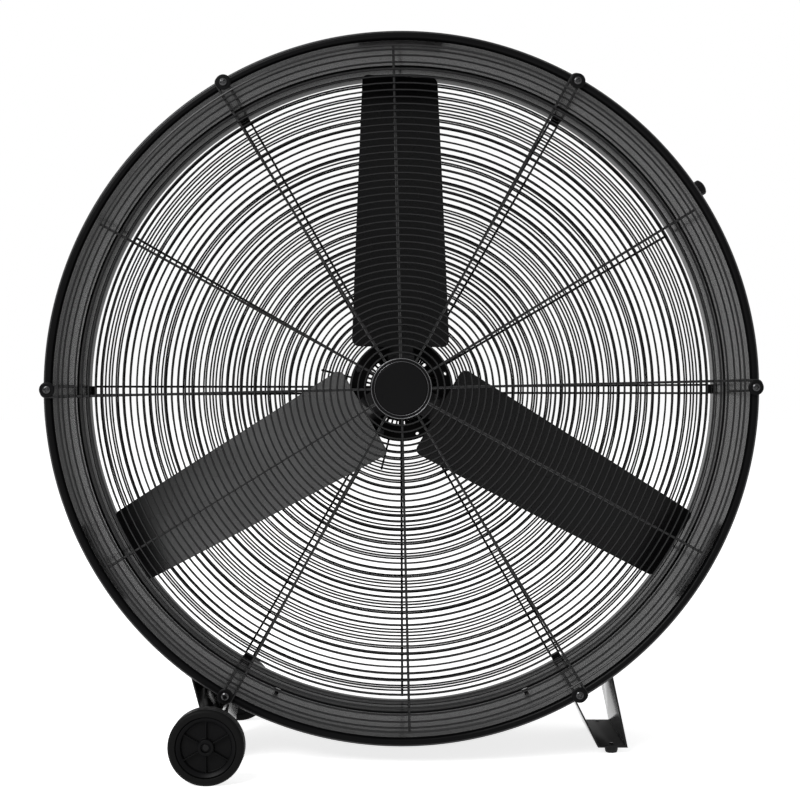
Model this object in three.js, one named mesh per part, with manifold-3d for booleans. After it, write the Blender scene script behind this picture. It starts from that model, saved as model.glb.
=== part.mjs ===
// Drum fan on two wheels and two feet, in millimetres, +Z up.
// The floor is Z = 0, the fan axis runs along Y above X = 0, and air leaves towards -Y.
// Angles on the fan axis start at +X and grow towards +Z.
import * as THREE from 'three';
import { mergeVertices } from 'three/addons/utils/BufferGeometryUtils.js';
import Module from 'manifold-3d';

const wasm = await Module();
wasm.setup();

// ---- driving dimensions -------------------------------------------------------------------
const CLEARANCE = 0.3; // between pieces that touch
const WELD = 0.4; // how far welded wires sink into each other
const OVERLAP = 1; // how far a cut or a joined body runs past the face it meets

// Facets round the turned surfaces
const OUTER_RING_FACETS = 24;
const RING_FACETS = 20;
const WHEEL_FACETS = 20;
const MOTOR_FACETS = 20;
const BADGE_FACETS = 20;
const CORE_FACETS = 16;
const KNOB_FACETS = 16;
const SHAFT_FACETS = 12;
const PIN_FACETS = 10;
const WASHER_FACETS = 8;
const SCREW_FACETS = 6;

// Drum
const DRUM_BORE_RADIUS = 478;
const DRUM_SHEET = 1.5;
const DRUM_FRONT = -120;
const DRUM_DEPTH = 320;
const RIM_BEAD_RADIUS = 6.6;
const RIM_BEAD_POINTS = 5;
const RIM_ABOVE_FLOOR = 25.8;
const SWAGE_FROM_FRONT = 195;
const SWAGE_WIDTH = 16;
const SWAGE_HEIGHT = 5;
const CREASE_FROM_FRONT = 261;
const CREASE_WIDTH = 8;
const CREASE_HEIGHT = 2;
const DRUM_FACETS_PER_PAIR = 6; // so a corner of the wall lies behind each pair of spokes

// Grilles
const FRONT_RING_FIRST = 50;
const FRONT_RINGS = 7;
const REAR_RING_FIRST = 47;
const REAR_RINGS = 6;
const OUTER_RING_INSET = 8; // both grilles' outer rings, inside the drum's bore
const LAST_RING_INSET = 45; // the last ring of the even pitch, inside the outer ring
const REAR_GRILLE_INSET = 12; // from the rear rim to the rings' back
const RING_WIRE = 2.6;
const SPOKE_WIRE = 3.5;
const SPOKE_PAIRS = 6;
const FRONT_SPOKE_INNER = 16;
const FRONT_SPOKE_TURN = 1.1; // degrees, front spokes off the drum's own axes
const SPOKE_END_PAST_RING = 2;
const HOOK_SPACING = 14.2;
const HOOK_RETURN = 39; // how far the bent end runs back from its screw
const HOOK_BENDS = 4;
const HAIRPIN_INNER_WIDTH = 9.5;
const HAIRPIN_OUTER_WIDTH = 12.8;
const TAB_WIDTH = 14.5;
const TAB_REACH = 8.5;
const TAB_THICKNESS = 5;

// Grille screws, on the front bead
const SCREW_OFF_BEAD = 1.4; // outwards from the middle of the bead
const SCREW_RADIUS = 2.1;
const SCREW_LENGTH = 14;
const SCREW_HEAD_RADIUS = 5.2;
const SCREW_HEAD_HEIGHT = 3;
const WASHER_RADIUS = 11;
const WASHER_THICKNESS = 2;

// Badge in the middle of the front grille
const BADGE_RADIUS = 41.6;
const BADGE_THICKNESS = 6;
const BADGE_LIP = 4;
const BADGE_CHAMFER = 4;
const BADGE_DISH = 1.2;
const BADGE_STUD_RADIUS = 2.4;
const BADGE_STUD_DEPTH = 3.6;
const BADGE_CLAMP_RADIUS = 32;
const BADGE_CLAMP_THICKNESS = 2.4;

// Motor
const MOTOR_INSET = 44; // from the drum's rear end to the motor's rear face
const MOTOR_LENGTH = 78;
const MOTOR_BELL_RADIUS = 77;
const MOTOR_CAN_RADIUS = 62;
const MOTOR_CAN_WALL = 2;
const MOTOR_BELL_SHEET = 3;
const MOTOR_VENTS = 12;
const VENT_INNER = 49.5;
const VENT_OUTER = 56.5;
const VENT_WIDTH = 4.6;
const LUG_HOLE_CIRCLE = 70;
const LUG_HOLE_RADIUS = 2.6;
const LUG_HOLE_ANGLE = 20;
const MOTOR_BOLT_CIRCLE = 69.5;
const MOTOR_BOLT_ANGLE = 65;
const MOTOR_BOLT_RADIUS = 2.5;
const MOTOR_BOLT_HEAD_RADIUS = 4.6;
const MOTOR_BOLT_HEAD = 3.2;
const MOTOR_CORNERS = 4;
const STATOR_OUTER = 48;
const STATOR_RIBS = 4;
const STATOR_RIB_WIDTH = 8;
const STATOR_LENGTH = 42;
const ROTOR_AIR_GAP = 1;
const ROTOR_RADIUS = 31;
const ROTOR_LENGTH = 44;
const SHAFT_RADIUS = 6;
const SHAFT_PAST_BLADES = 27;
const SHAFT_BEHIND_BEARING = 2;
const BEARING_RADIUS = 14;
const BEARING_WIDTH = 9;
const BEARING_WALL = 3;

// Bracket that carries the motor on the rear grille
const BRACKET_PLATE = 3;
const BRACKET_BORE = 58;
const ARM_PAST_RING = 3; // beyond the rear grille's second ring, which the arms rest on
const ARM_THICKNESS = 3;
const ARM_ANGLE = 76;
const ARM_INNER = 68;

// Blades and hub
const BLADES = 3;
const BLADE_FIRST_ANGLE = 90;
const BLADES_OFF_MOTOR = 43; // from the motor's front face to the blades
const BLADE_TIP_GAP = 21; // from the tips to the drum's bore
const BLADE_ROOT_RADIUS = 62;
const BLADE_ROOT_WIDTH = 144;
const BLADE_TIP_WIDTH = 108;
const BLADE_SHEET = 2.4;
const BLADE_CORNER = 9;
const BLADE_CORNER_SHARES = [0, 0.3, 1]; // of a corner, where its arc has points
const BLADE_SPAN_SHARES = [0.3, 0.5, 0.7]; // of the blade, where its long edges have points
const BLADE_CHORD_SHARES = [-1, -0.4, 0.4, 1]; // of half the width, where the sheet bends
const BLADE_NECK_WIDTH = 38;
const BLADE_NECK_INNER = 21;
const BLADE_SHOULDER = 1; // from the neck's last station out to the root
const BLADE_ROOT_PITCH = 24; // degrees
const BLADE_TIP_PITCH = 16;
const BLADE_TWIST_START = 52;
const BLADE_TWIST_END = 110;
const BLADE_CAMBER = 7;
const HUB_BOSS_RADIUS = 17;
const HUB_BOSS_AHEAD = 10; // of the hub plate's front face
const HUB_BOSS_BEHIND = 20;
const HUB_PLATE = 4;
const HUB_PLATE_INTO_BOSS = 2;
const HUB_ARM_WIDTH = 34;
const HUB_ARM_REACH = 50;
const BLADE_BOLT_INSET = 24; // from the blade root to its bolt in the neck
const BLADE_BOLT_RADIUS = 3;
const BLADE_BOLT_HEAD_RADIUS = 6;
const BLADE_BOLT_HEAD = 4;
const SHAFT_NUT_RADIUS = 10;
const SHAFT_NUT_WIDTH = 7;

// Control box on the drum's right side
const BOX_ANGLE = 34;
const BOX_WIDTH = 80;
const BOX_HEIGHT = 24;
const BOX_START = -20;
const BOX_LENGTH = 85;
const BOX_WALL = 2;
const BOX_COVER = 2;
const BOX_BASE_POINTS = 5; // across the base that follows the drum
const SWITCH_ALONG = 45; // from the box's front wall
const SWITCH_BODY = 26;
const SWITCH_DEPTH = 20;
const SWITCH_BUSH_RADIUS = 4.5;
const SWITCH_SHAFT_RADIUS = 3;
const SWITCH_SHAFT_LENGTH = 14;
const KNOB_RADIUS = 12.5;
const KNOB_HEIGHT = 20;
const KNOB_DOME = 3;
const KNOB_DOME_POINTS = 4;
const KNOB_EDGE = 1;
const KNOB_MARK_WIDTH = 2;
const KNOB_MARK_DEPTH = 1;
const CAPACITOR_LENGTH = 44;
const CAPACITOR_WIDTH = 22;
const CAPACITOR_HEIGHT = 18;
const GLAND_RADIUS = 5.6;
const GLAND_NUT_RADIUS = 7;
const GLAND_LENGTH = 22;
const GLAND_BORE = 3.8;
const GLAND_TAPER = 1;

// Straps under the drum, both 2.4 mm sheet
const STRAP_SHEET = 2.4;
const STRAP_OUTER_TOP = 293; // where the walls meet the drum, from the middle
const STRAP_INNER_TOP = 235.5;
const STRAP_INNER_FLANGE = 62;
const STRAP_OUTER_FLANGE = 30;
const STRAP_INNER_FLANGE_POINTS = 4;
const STRAP_OUTER_FLANGE_POINTS = 3;
const STRAP_FLANGE_HALF_FACET = 1.6; // degrees of the drum, half of a flange's longest facet
const STRAP_BOLT_IN = 53;
const STRAP_BOLT_Y = 47;
const WHEEL_STRAP_FRONT = -106;
const WHEEL_STRAP_LENGTH = 208;
const WHEEL_STRAP_PAST_AXLE = 8; // from the axle out to the outer wall's foot
const WHEEL_STRAP_BOTTOM = 22;
const FOOT_STRAP_FRONT = -40;
const FOOT_STRAP_LENGTH = 208;
const FOOT_STRAP_OUTER_FOOT = 319;
const FOOT_STRAP_INNER_FOOT = 279;
const BOLT_RADIUS = 3;
const BOLT_HEAD_RADIUS = 5;
const BOLT_HEAD = 2;
const BOLT_PAST_STRAP = 5;
const BOLT_DRILL = 30; // long enough for the wall and the strap

// Wheels and axle
const WHEEL_RADIUS = 50;
const WHEEL_WIDTH = 30;
const WHEEL_X = -254;
const WHEEL_FACE = 250; // outer faces, from the middle
const TYRE_INNER_RADIUS = 40;
const TYRE_CROWN = 3;
const RIM_RING_RADIUS = 33.3;
const RIM_DISH = 9;
const RIM_SET_BACK = 2;
const RIM_BOSS_RADIUS = 10.4;
const RIM_SOCKET_RADIUS = 6.6;
const RIM_SOCKET_DEPTH = 5;
const RIM_RIBS = 6;
const RIM_RIB_WIDTH = 1.6;
const RIM_RIB_DROP = 4;
const RIM_RIB_ANGLE = 30;
const AXLE_RADIUS = 4.5;
const AXLE_TUBE_RADIUS = 8.7;
const AXLE_END_INSET = 4;
const CLIP_WIDTH = 1.6;

// Feet
const FOOT_HEIGHT = 9.2;
const FOOT_SOLE_RADIUS = 8.4;
const FOOT_TOP_RADIUS = 9.5;
const FOOT_FRONT_INSET = 17;
const FOOT_REAR_INSET = 13;
const FOOT_SCREW_RADIUS = 2.2;
const FOOT_SCREW_HEAD_RADIUS = 3.4;
const FOOT_SCREW_HEAD = 1.3;
const FOOT_SCREW_HEAD_TOP_RADIUS = 2.4;
const FOOT_SCREW_LENGTH = 7;

// ---- sizes that follow --------------------------------------------------------------------
const DRUM_REAR = DRUM_FRONT + DRUM_DEPTH;
const DRUM_SKIN_RADIUS = DRUM_BORE_RADIUS + DRUM_SHEET;
const DRUM_FACETS = DRUM_FACETS_PER_PAIR * SPOKE_PAIRS;
const DRUM_HALF_FACET = Math.PI / DRUM_FACETS;
const MOTOR_FRONT = DRUM_REAR - MOTOR_INSET - MOTOR_LENGTH;
const BLADE_PLANE = MOTOR_FRONT - BLADES_OFF_MOTOR;
const SHAFT_FRONT = BLADE_PLANE - SHAFT_PAST_BLADES;
const AXIS_HEIGHT = DRUM_BORE_RADIUS + 2 * RIM_BEAD_RADIUS + RIM_ABOVE_FLOOR;
const SCREW_CIRCLE = DRUM_BORE_RADIUS + RIM_BEAD_RADIUS + SCREW_OFF_BEAD;
const OUTER_RING = DRUM_BORE_RADIUS - OUTER_RING_INSET;
const LAST_RING = OUTER_RING - LAST_RING_INSET;
const BLADE_TIP_RADIUS = DRUM_BORE_RADIUS - BLADE_TIP_GAP;
const TURN = 2 * Math.PI;
const FULL_CIRCLE = 360; // degrees
const STRAIGHT_DOWN = -90;
const SAME_POINT = 1e-4; // corners nearer than this are one
const MITRE_LIMIT = 0.5; // least cosine of half a bend that is mitred in full

// ---- materials ----------------------------------------------------------------------------
const finish = (color, roughness, metalness) => (
  new THREE.MeshStandardMaterial({ color, roughness, metalness })
);
const finishes = {
  drum: () => finish(0x3a3b3d, 0.42, 0.1),
  wire: () => finish(0x151516, 0.45, 0.2),
  badge: () => finish(0x161617, 0.4, 0),
  steel: () => finish(0x55565a, 0.35, 0.9),
  blade: () => finish(0x222324, 0.45, 0.15),
  motor: () => finish(0x121213, 0.55, 0.2),
  core: () => finish(0x6b6a66, 0.5, 0.8),
  box: () => finish(0x1a1a1b, 0.5, 0.1),
  plastic: () => finish(0x18181a, 0.5, 0),
  strap: () => finish(0x2b2c2e, 0.42, 0.15),
  rubber: () => finish(0x141414, 0.8, 0),
  polished: () => finish(0x9a9ba0, 0.25, 1),
};

// ---- geometry helpers ---------------------------------------------------------------------
const radians = THREE.MathUtils.degToRad;

function positionsOnly(geometry) {
  const bare = geometry.clone();
  bare.deleteAttribute('normal');
  bare.deleteAttribute('uv');
  return mergeVertices(bare, SAME_POINT);
}

function signedVolume(geometry) {
  const { position } = geometry.attributes;
  const corner = [0, 1, 2].map(() => new THREE.Vector3());
  let sum = 0;
  for (let i = 0; i < geometry.index.count; i += 3) {
    corner.forEach((point, k) => point.fromBufferAttribute(position, geometry.index.getX(i + k)));
    sum += corner[0].dot(corner[1].clone().cross(corner[2])) / 6;
  }
  return sum;
}

// Welds the corners and turns the faces outwards.
function closed(geometry) {
  const welded = positionsOnly(geometry);
  if (signedVolume(welded) < 0) {
    const order = welded.index.array;
    for (let i = 0; i < order.length; i += 3) {
      [order[i], order[i + 1]] = [order[i + 1], order[i]];
    }
  }
  return welded;
}

function toSolid(geometry) {
  const welded = closed(geometry);
  return new wasm.Manifold(new wasm.Mesh({
    numProp: 3,
    vertProperties: new Float32Array(welded.attributes.position.array),
    triVerts: new Uint32Array(welded.index.array),
  }));
}

function fromSolid(solid) {
  const mesh = solid.getMesh();
  const geometry = new THREE.BufferGeometry();
  geometry.setAttribute('position', new THREE.BufferAttribute(mesh.vertProperties, 3));
  geometry.setIndex(new THREE.BufferAttribute(mesh.triVerts, 1));
  return geometry;
}

function united(geometries) {
  return fromSolid(geometries.map(toSolid).reduce((whole, piece) => whole.add(piece)));
}

function cutBy(geometry, tools) {
  return fromSolid(tools.map(toSolid).reduce((whole, tool) => whole.subtract(tool), toSolid(geometry)));
}

// A profile of [radius, y] points, turned about Y. It closes on itself unless it starts on the axis.
function revolved(profile, facets) {
  const points = profile.map(([radius, y]) => new THREE.Vector2(radius, y));
  if (profile[0][0] > 0) {
    points.push(points[0].clone());
  }
  return closed(new THREE.LatheGeometry(points, facets));
}

function ringProfile(inner, outer, low, high) {
  return [[inner, low], [outer, low], [outer, high], [inner, high]];
}

// A shape drawn in X and Z, extruded along Y from low to high.
function slab(shape, low, high) {
  const geometry = new THREE.ExtrudeGeometry(shape, { depth: high - low, bevelEnabled: false });
  geometry.rotateX(Math.PI / 2);
  geometry.translate(0, high, 0);
  return closed(geometry);
}

function polygon(points) {
  return new THREE.Shape(points.map(([x, z]) => new THREE.Vector2(x, z)));
}

function circlePoints(radius, facets, centreX = 0, centreZ = 0) {
  return Array.from({ length: facets }, (_, i) => {
    const angle = (TURN * (i + 0.5)) / facets;
    return [centreX + radius * Math.cos(angle), centreZ + radius * Math.sin(angle)];
  });
}

// A bore's corners, set out so that its flats keep the full radius.
function borePoints(radius, facets, centreX = 0, centreZ = 0) {
  return circlePoints(radius / Math.cos(Math.PI / facets), facets, centreX, centreZ);
}

function borePath(radius, facets, centreX = 0, centreZ = 0) {
  const corners = borePoints(radius, facets, centreX, centreZ);
  return new THREE.Path(corners.map(([x, z]) => new THREE.Vector2(x, z)));
}

function drillBit(radius, length, facets) {
  const corner = radius / Math.cos(Math.PI / facets);
  return new THREE.CylinderGeometry(corner, corner, length, facets);
}

function block(width, depth, height, x, y, z) {
  return new THREE.BoxGeometry(width, depth, height).translate(x, y, z);
}

function turned(geometry, degrees) {
  return geometry.clone().rotateY(-radians(degrees));
}

function polar(radius, degrees) {
  return [radius * Math.cos(radians(degrees)), radius * Math.sin(radians(degrees))];
}

// The step of one millimetre across a path at each of its points, mitred where the path bends.
function stepsAcross(path) {
  return path.map(([x, z], i) => {
    const before = path[Math.max(i - 1, 0)];
    const after = path[Math.min(i + 1, path.length - 1)];
    const toHere = new THREE.Vector2(x - before[0], z - before[1]).normalize();
    const onward = new THREE.Vector2(after[0] - x, after[1] - z).normalize();
    const along = toHere.clone().add(onward).normalize();
    const mitre = 1 / Math.max(along.dot(i === 0 ? onward : toHere), MITRE_LIMIT);
    return [-along.y * mitre, along.x * mitre];
  });
}

// Carries a section of [across, y] points along a path of [x, z] points.
function wireAlong(path, section) {
  const sides = section.length;
  const vertices = [];
  stepsAcross(path).forEach(([stepX, stepZ], i) => {
    const [x, z] = path[i];
    section.forEach(([across, y]) => vertices.push(x + stepX * across, y, z + stepZ * across));
  });
  const faces = [];
  for (let i = 0; i + 1 < path.length; i += 1) {
    for (let k = 0; k < sides; k += 1) {
      const here = i * sides + k;
      const next = i * sides + ((k + 1) % sides);
      faces.push(here, next, here + sides, next, next + sides, here + sides);
    }
  }
  const last = (path.length - 1) * sides;
  for (let k = 1; k + 1 < sides; k += 1) {
    faces.push(0, k + 1, k, last, last + k, last + k + 1);
  }
  const geometry = new THREE.BufferGeometry();
  geometry.setAttribute('position', new THREE.Float32BufferAttribute(vertices, 3));
  geometry.setIndex(faces);
  return closed(geometry);
}

// Three-sided wire: a flat back at y = base and a ridge at y = ridge.
function ridgedWire(width, base, ridge) {
  return [[-width / 2, base], [width / 2, base], [0, ridge]];
}

function wireRing(radius, width, base, ridge, facets) {
  const profile = [[radius - width / 2, base], [radius + width / 2, base], [radius, ridge]];
  return revolved(profile, facets);
}

function evenSteps(first, last, count) {
  return Array.from({ length: count }, (_, i) => first + ((last - first) * i) / (count - 1));
}

// Angles in degrees, spread evenly round the whole circle.
function evenAngles(count, first = 0) {
  return Array.from({ length: count }, (_, i) => first + (FULL_CIRCLE * i) / count);
}

function piece(name, geometry, material) {
  const flat = geometry.index ? geometry.toNonIndexed() : geometry.clone();
  flat.computeVertexNormals();
  const mesh = new THREE.Mesh(flat, material);
  mesh.name = name;
  return mesh;
}

function placedAt(x, y, z) {
  const group = new THREE.Group();
  group.position.set(x, y, z);
  return group;
}

// A group turned about the fan axis, so its own +X points outwards at that angle.
function facing(degrees, x = 0, y = 0, z = 0) {
  const group = placedAt(x, y, z);
  group.rotation.y = -radians(degrees);
  return group;
}

// Screw along Y: its shank starts under the head at y = seat and runs towards +Y.
function screwProfile(seat, radius, length, headRadius, headHeight) {
  return [
    [0, seat - headHeight], [headRadius, seat - headHeight], [headRadius, seat],
    [radius, seat], [radius, seat + length], [0, seat + length],
  ];
}

// ---- drum -----------------------------------------------------------------------------------
// The sheet rolled outwards into a bead at one end; towards is -1 for the front, 1 for the rear.
function rolledBead(endY, towards) {
  const centreRadius = DRUM_BORE_RADIUS + RIM_BEAD_RADIUS;
  const centreY = endY - towards * RIM_BEAD_RADIUS;
  const closing = Math.PI - Math.acos((RIM_BEAD_RADIUS - DRUM_SHEET) / RIM_BEAD_RADIUS);
  return [...evenSteps(Math.PI, 0, RIM_BEAD_POINTS), -closing].map((angle) => [
    centreRadius + RIM_BEAD_RADIUS * Math.cos(angle),
    centreY + towards * RIM_BEAD_RADIUS * Math.sin(angle),
  ]);
}

// The wall between the beads, with its square swage and its shallow crease pressed outwards.
function wallLine(radius) {
  const swage = DRUM_FRONT + SWAGE_FROM_FRONT;
  const crease = DRUM_FRONT + CREASE_FROM_FRONT;
  return [
    [radius, swage - SWAGE_WIDTH / 2],
    [radius + SWAGE_HEIGHT, swage - SWAGE_WIDTH / 4],
    [radius + SWAGE_HEIGHT, swage + SWAGE_WIDTH / 4],
    [radius, swage + SWAGE_WIDTH / 2],
    [radius, crease - CREASE_WIDTH / 2],
    [radius + CREASE_HEIGHT, crease],
    [radius, crease + CREASE_WIDTH / 2],
  ];
}

function drumProfile() {
  return [
    ...rolledBead(DRUM_FRONT, -1).reverse(),
    ...wallLine(DRUM_BORE_RADIUS),
    ...rolledBead(DRUM_REAR, 1),
    ...wallLine(DRUM_SKIN_RADIUS).reverse(),
  ];
}

// Angle of the grille screws, midway between the two legs of a front hook.
const SCREW_TURN = FRONT_SPOKE_TURN - THREE.MathUtils.radToDeg(Math.atan(HOOK_SPACING / 2 / SCREW_CIRCLE));
const pairAngles = evenAngles(SPOKE_PAIRS);
const singleAngles = evenAngles(SPOKE_PAIRS, FULL_CIRCLE / SPOKE_PAIRS / 2);
const strapBoltX = STRAP_INNER_TOP - STRAP_BOLT_IN;
const strapBoltAngle = THREE.MathUtils.radToDeg(Math.asin(strapBoltX / DRUM_SKIN_RADIUS));

function screwHoles() {
  const hole = polygon(borePoints(SCREW_RADIUS + CLEARANCE, SCREW_FACETS, SCREW_CIRCLE, 0));
  const drill = slab(hole, DRUM_FRONT - OVERLAP, DRUM_FRONT + SCREW_LENGTH);
  return pairAngles.map((angle) => turned(drill, angle + SCREW_TURN));
}

// Holes through the wall for the strap bolts, at equal angles either side of straight down.
function strapBoltHoles() {
  const drill = drillBit(BOLT_RADIUS + CLEARANCE, BOLT_DRILL, SCREW_FACETS);
  drill.rotateZ(Math.PI / 2).translate(DRUM_BORE_RADIUS, STRAP_BOLT_Y, 0);
  return [-strapBoltAngle, strapBoltAngle].map((angle) => turned(drill, STRAIGHT_DOWN + angle));
}

function drumShell() {
  const wall = revolved(drumProfile(), DRUM_FACETS);
  return piece('drum_shell', cutBy(wall, [...screwHoles(), ...strapBoltHoles()]), finishes.drum());
}

// ---- front grille ---------------------------------------------------------------------------
const frontSpokeBack = DRUM_FRONT - CLEARANCE;
const frontSpokeRidge = frontSpokeBack - SPOKE_WIRE;
const frontRingRidge = frontSpokeRidge + WELD;
const frontRingFace = frontRingRidge - RING_WIRE;

function frontRings() {
  const rings = evenSteps(FRONT_RING_FIRST, LAST_RING, FRONT_RINGS)
    .map((radius) => wireRing(radius, RING_WIRE, frontRingFace, frontRingRidge, RING_FACETS));
  const outer = wireRing(OUTER_RING, SPOKE_WIRE, frontRingFace, frontRingRidge, OUTER_RING_FACETS);
  return [...rings, outer];
}

// A spoke that runs past the outer ring, turns round its screw and comes back beside itself.
function hookPath() {
  const bend = HOOK_SPACING / 2;
  const turn = evenSteps(Math.PI / 2, -Math.PI / 2, HOOK_BENDS + 1)
    .map((angle) => [SCREW_CIRCLE + bend * Math.cos(angle), bend * Math.sin(angle) - bend]);
  return [[FRONT_SPOKE_INNER, 0], ...turn, [SCREW_CIRCLE - HOOK_RETURN, -HOOK_SPACING]];
}

function frontSpokes() {
  const section = ridgedWire(SPOKE_WIRE, frontSpokeBack, frontSpokeRidge);
  const straight = wireAlong([[FRONT_SPOKE_INNER, 0], [OUTER_RING + SPOKE_END_PAST_RING, 0]], section);
  const hook = wireAlong(hookPath(), section);
  return [
    ...pairAngles.map((angle) => turned(hook, angle + FRONT_SPOKE_TURN)),
    ...singleAngles.map((angle) => turned(straight, angle + FRONT_SPOKE_TURN)),
  ];
}

function frontGrille() {
  return piece('front_grille', united([...frontRings(), ...frontSpokes()]), finishes.wire());
}

function grilleScrews() {
  const washerBack = frontSpokeRidge - CLEARANCE;
  const seat = washerBack - WASHER_THICKNESS - CLEARANCE;
  const screwOutline = screwProfile(seat, SCREW_RADIUS, SCREW_LENGTH, SCREW_HEAD_RADIUS, SCREW_HEAD_HEIGHT);
  const screw = revolved(screwOutline, SCREW_FACETS);
  const washerFront = washerBack - WASHER_THICKNESS;
  const washerRing = ringProfile(SCREW_RADIUS + CLEARANCE, WASHER_RADIUS, washerFront, washerBack);
  const washer = revolved(washerRing, WASHER_FACETS);
  return pairAngles.map((angle, i) => {
    const spot = facing(angle + SCREW_TURN);
    const screwMesh = piece(`grille_screw_${i + 1}`, screw, finishes.steel());
    const washerMesh = piece(`grille_washer_${i + 1}`, washer, finishes.plastic());
    screwMesh.position.x = SCREW_CIRCLE;
    washerMesh.position.x = SCREW_CIRCLE;
    spot.add(screwMesh, washerMesh);
    return spot;
  });
}

// ---- badge ----------------------------------------------------------------------------------
const badgeBack = frontSpokeRidge - CLEARANCE;

function badge() {
  const face = badgeBack - BADGE_THICKNESS;
  const shelf = BADGE_RADIUS - BADGE_LIP;
  const profile = [
    [0, badgeBack - BADGE_STUD_DEPTH], [BADGE_STUD_RADIUS + CLEARANCE, badgeBack - BADGE_STUD_DEPTH],
    [BADGE_STUD_RADIUS + CLEARANCE, badgeBack], [BADGE_RADIUS, badgeBack],
    [BADGE_RADIUS, face + BADGE_CHAMFER / 2], [BADGE_RADIUS - BADGE_CHAMFER / 2, face],
    [shelf, face + BADGE_DISH], [0, face + BADGE_DISH],
  ];
  return piece('grille_badge', revolved(profile, BADGE_FACETS), finishes.badge());
}

// Disc behind the spokes, with the stud that passes between them into the badge.
function badgeClamp() {
  const front = frontSpokeBack + CLEARANCE;
  const studEnd = badgeBack - BADGE_STUD_DEPTH + CLEARANCE;
  const profile = [
    [0, studEnd], [BADGE_STUD_RADIUS, studEnd], [BADGE_STUD_RADIUS, front],
    [BADGE_CLAMP_RADIUS, front], [BADGE_CLAMP_RADIUS, front + BADGE_CLAMP_THICKNESS],
    [0, front + BADGE_CLAMP_THICKNESS],
  ];
  return piece('badge_clamp', revolved(profile, CORE_FACETS), finishes.plastic());
}

// ---- rear grille ----------------------------------------------------------------------------
const rearRingFace = DRUM_REAR - REAR_GRILLE_INSET;
const rearRingRidge = rearRingFace - RING_WIRE;
const rearSpokeRidge = rearRingRidge + WELD;
const rearSpokeFront = rearSpokeRidge - SPOKE_WIRE;

const rearRingRadii = evenSteps(REAR_RING_FIRST, LAST_RING, REAR_RINGS);

function rearRings() {
  const rings = rearRingRadii
    .map((radius) => wireRing(radius, RING_WIRE, rearRingFace, rearRingRidge, RING_FACETS));
  const outer = wireRing(OUTER_RING, SPOKE_WIRE, rearRingFace, rearRingRidge, OUTER_RING_FACETS);
  return [...rings, outer];
}

function rearSpokes() {
  const section = ridgedWire(SPOKE_WIRE, rearSpokeFront, rearSpokeRidge);
  const end = OUTER_RING + SPOKE_END_PAST_RING;
  const straight = wireAlong([[REAR_RING_FIRST - SPOKE_WIRE, 0], [end, 0]], section);
  const hairpin = wireAlong([
    [REAR_RING_FIRST - SPOKE_WIRE, HAIRPIN_INNER_WIDTH / 2], [end, HAIRPIN_OUTER_WIDTH / 2],
    [end, -HAIRPIN_OUTER_WIDTH / 2], [REAR_RING_FIRST - SPOKE_WIRE, -HAIRPIN_INNER_WIDTH / 2],
  ], section);
  return [
    ...pairAngles.map((angle) => turned(hairpin, angle)),
    ...singleAngles.map((angle) => turned(straight, angle)),
  ];
}

// Small plates across the hairpins, with their outer edge cut to the drum's wall.
function rearTabs() {
  const half = TAB_WIDTH / 2;
  const edge = DRUM_BORE_RADIUS - CLEARANCE;
  const corner = edge - half * Math.tan(DRUM_HALF_FACET);
  const inner = corner - TAB_REACH;
  const outline = polygon([[inner, -half], [corner, -half], [edge, 0], [corner, half], [inner, half]]);
  const tab = slab(outline, rearSpokeFront, rearSpokeFront + TAB_THICKNESS);
  return pairAngles.map((angle) => turned(tab, angle));
}

function rearGrille() {
  return piece('rear_grille', united([...rearRings(), ...rearSpokes(), ...rearTabs()]), finishes.wire());
}

// ---- motor ----------------------------------------------------------------------------------
const motorRear = MOTOR_FRONT + MOTOR_LENGTH;
const cornerAngles = evenAngles(MOTOR_CORNERS);
const ventAngles = evenAngles(MOTOR_VENTS, FULL_CIRCLE / MOTOR_VENTS / 2);
const bearingSeat = BEARING_RADIUS + CLEARANCE;

function ventHole(degrees) {
  const half = VENT_WIDTH / 2;
  const corners = [[VENT_INNER, -half], [VENT_OUTER, -half], [VENT_OUTER, half], [VENT_INNER, half]];
  const centre = new THREE.Vector2();
  const spin = radians(degrees);
  return new THREE.Path(corners.map(([x, z]) => new THREE.Vector2(x, z).rotateAround(centre, spin)));
}

function roundHole(radius, circle, degrees) {
  return borePath(radius, SCREW_FACETS, ...polar(circle, degrees));
}

function boltAndLugHoles() {
  return cornerAngles.flatMap((angle) => [
    roundHole(LUG_HOLE_RADIUS, LUG_HOLE_CIRCLE, angle + LUG_HOLE_ANGLE),
    roundHole(MOTOR_BOLT_RADIUS + CLEARANCE, MOTOR_BOLT_CIRCLE, angle + MOTOR_BOLT_ANGLE),
  ]);
}

// A disc with its bearing bore and vents; a bearing housing stands on its inner side.
function bell(name, radius, holes, faceY, inwards) {
  const disc = polygon(circlePoints(radius, MOTOR_FACETS));
  disc.holes.push(borePath(bearingSeat, PIN_FACETS), ...ventAngles.map(ventHole), ...holes);
  const back = faceY + inwards * MOTOR_BELL_SHEET;
  const plate = slab(disc, Math.min(faceY, back), Math.max(faceY, back));
  const housing = revolved(
    ringProfile(bearingSeat, bearingSeat + BEARING_WALL, faceY + inwards, faceY + inwards * BEARING_WIDTH),
    SHAFT_FACETS,
  );
  return piece(name, united([plate, housing]), finishes.motor());
}

function motorCan() {
  const inset = MOTOR_BELL_SHEET + CLEARANCE;
  const profile = ringProfile(
    MOTOR_CAN_RADIUS - MOTOR_CAN_WALL, MOTOR_CAN_RADIUS, MOTOR_FRONT + inset, motorRear - inset,
  );
  return piece('motor_can', revolved(profile, MOTOR_FACETS), finishes.motor());
}

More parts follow.
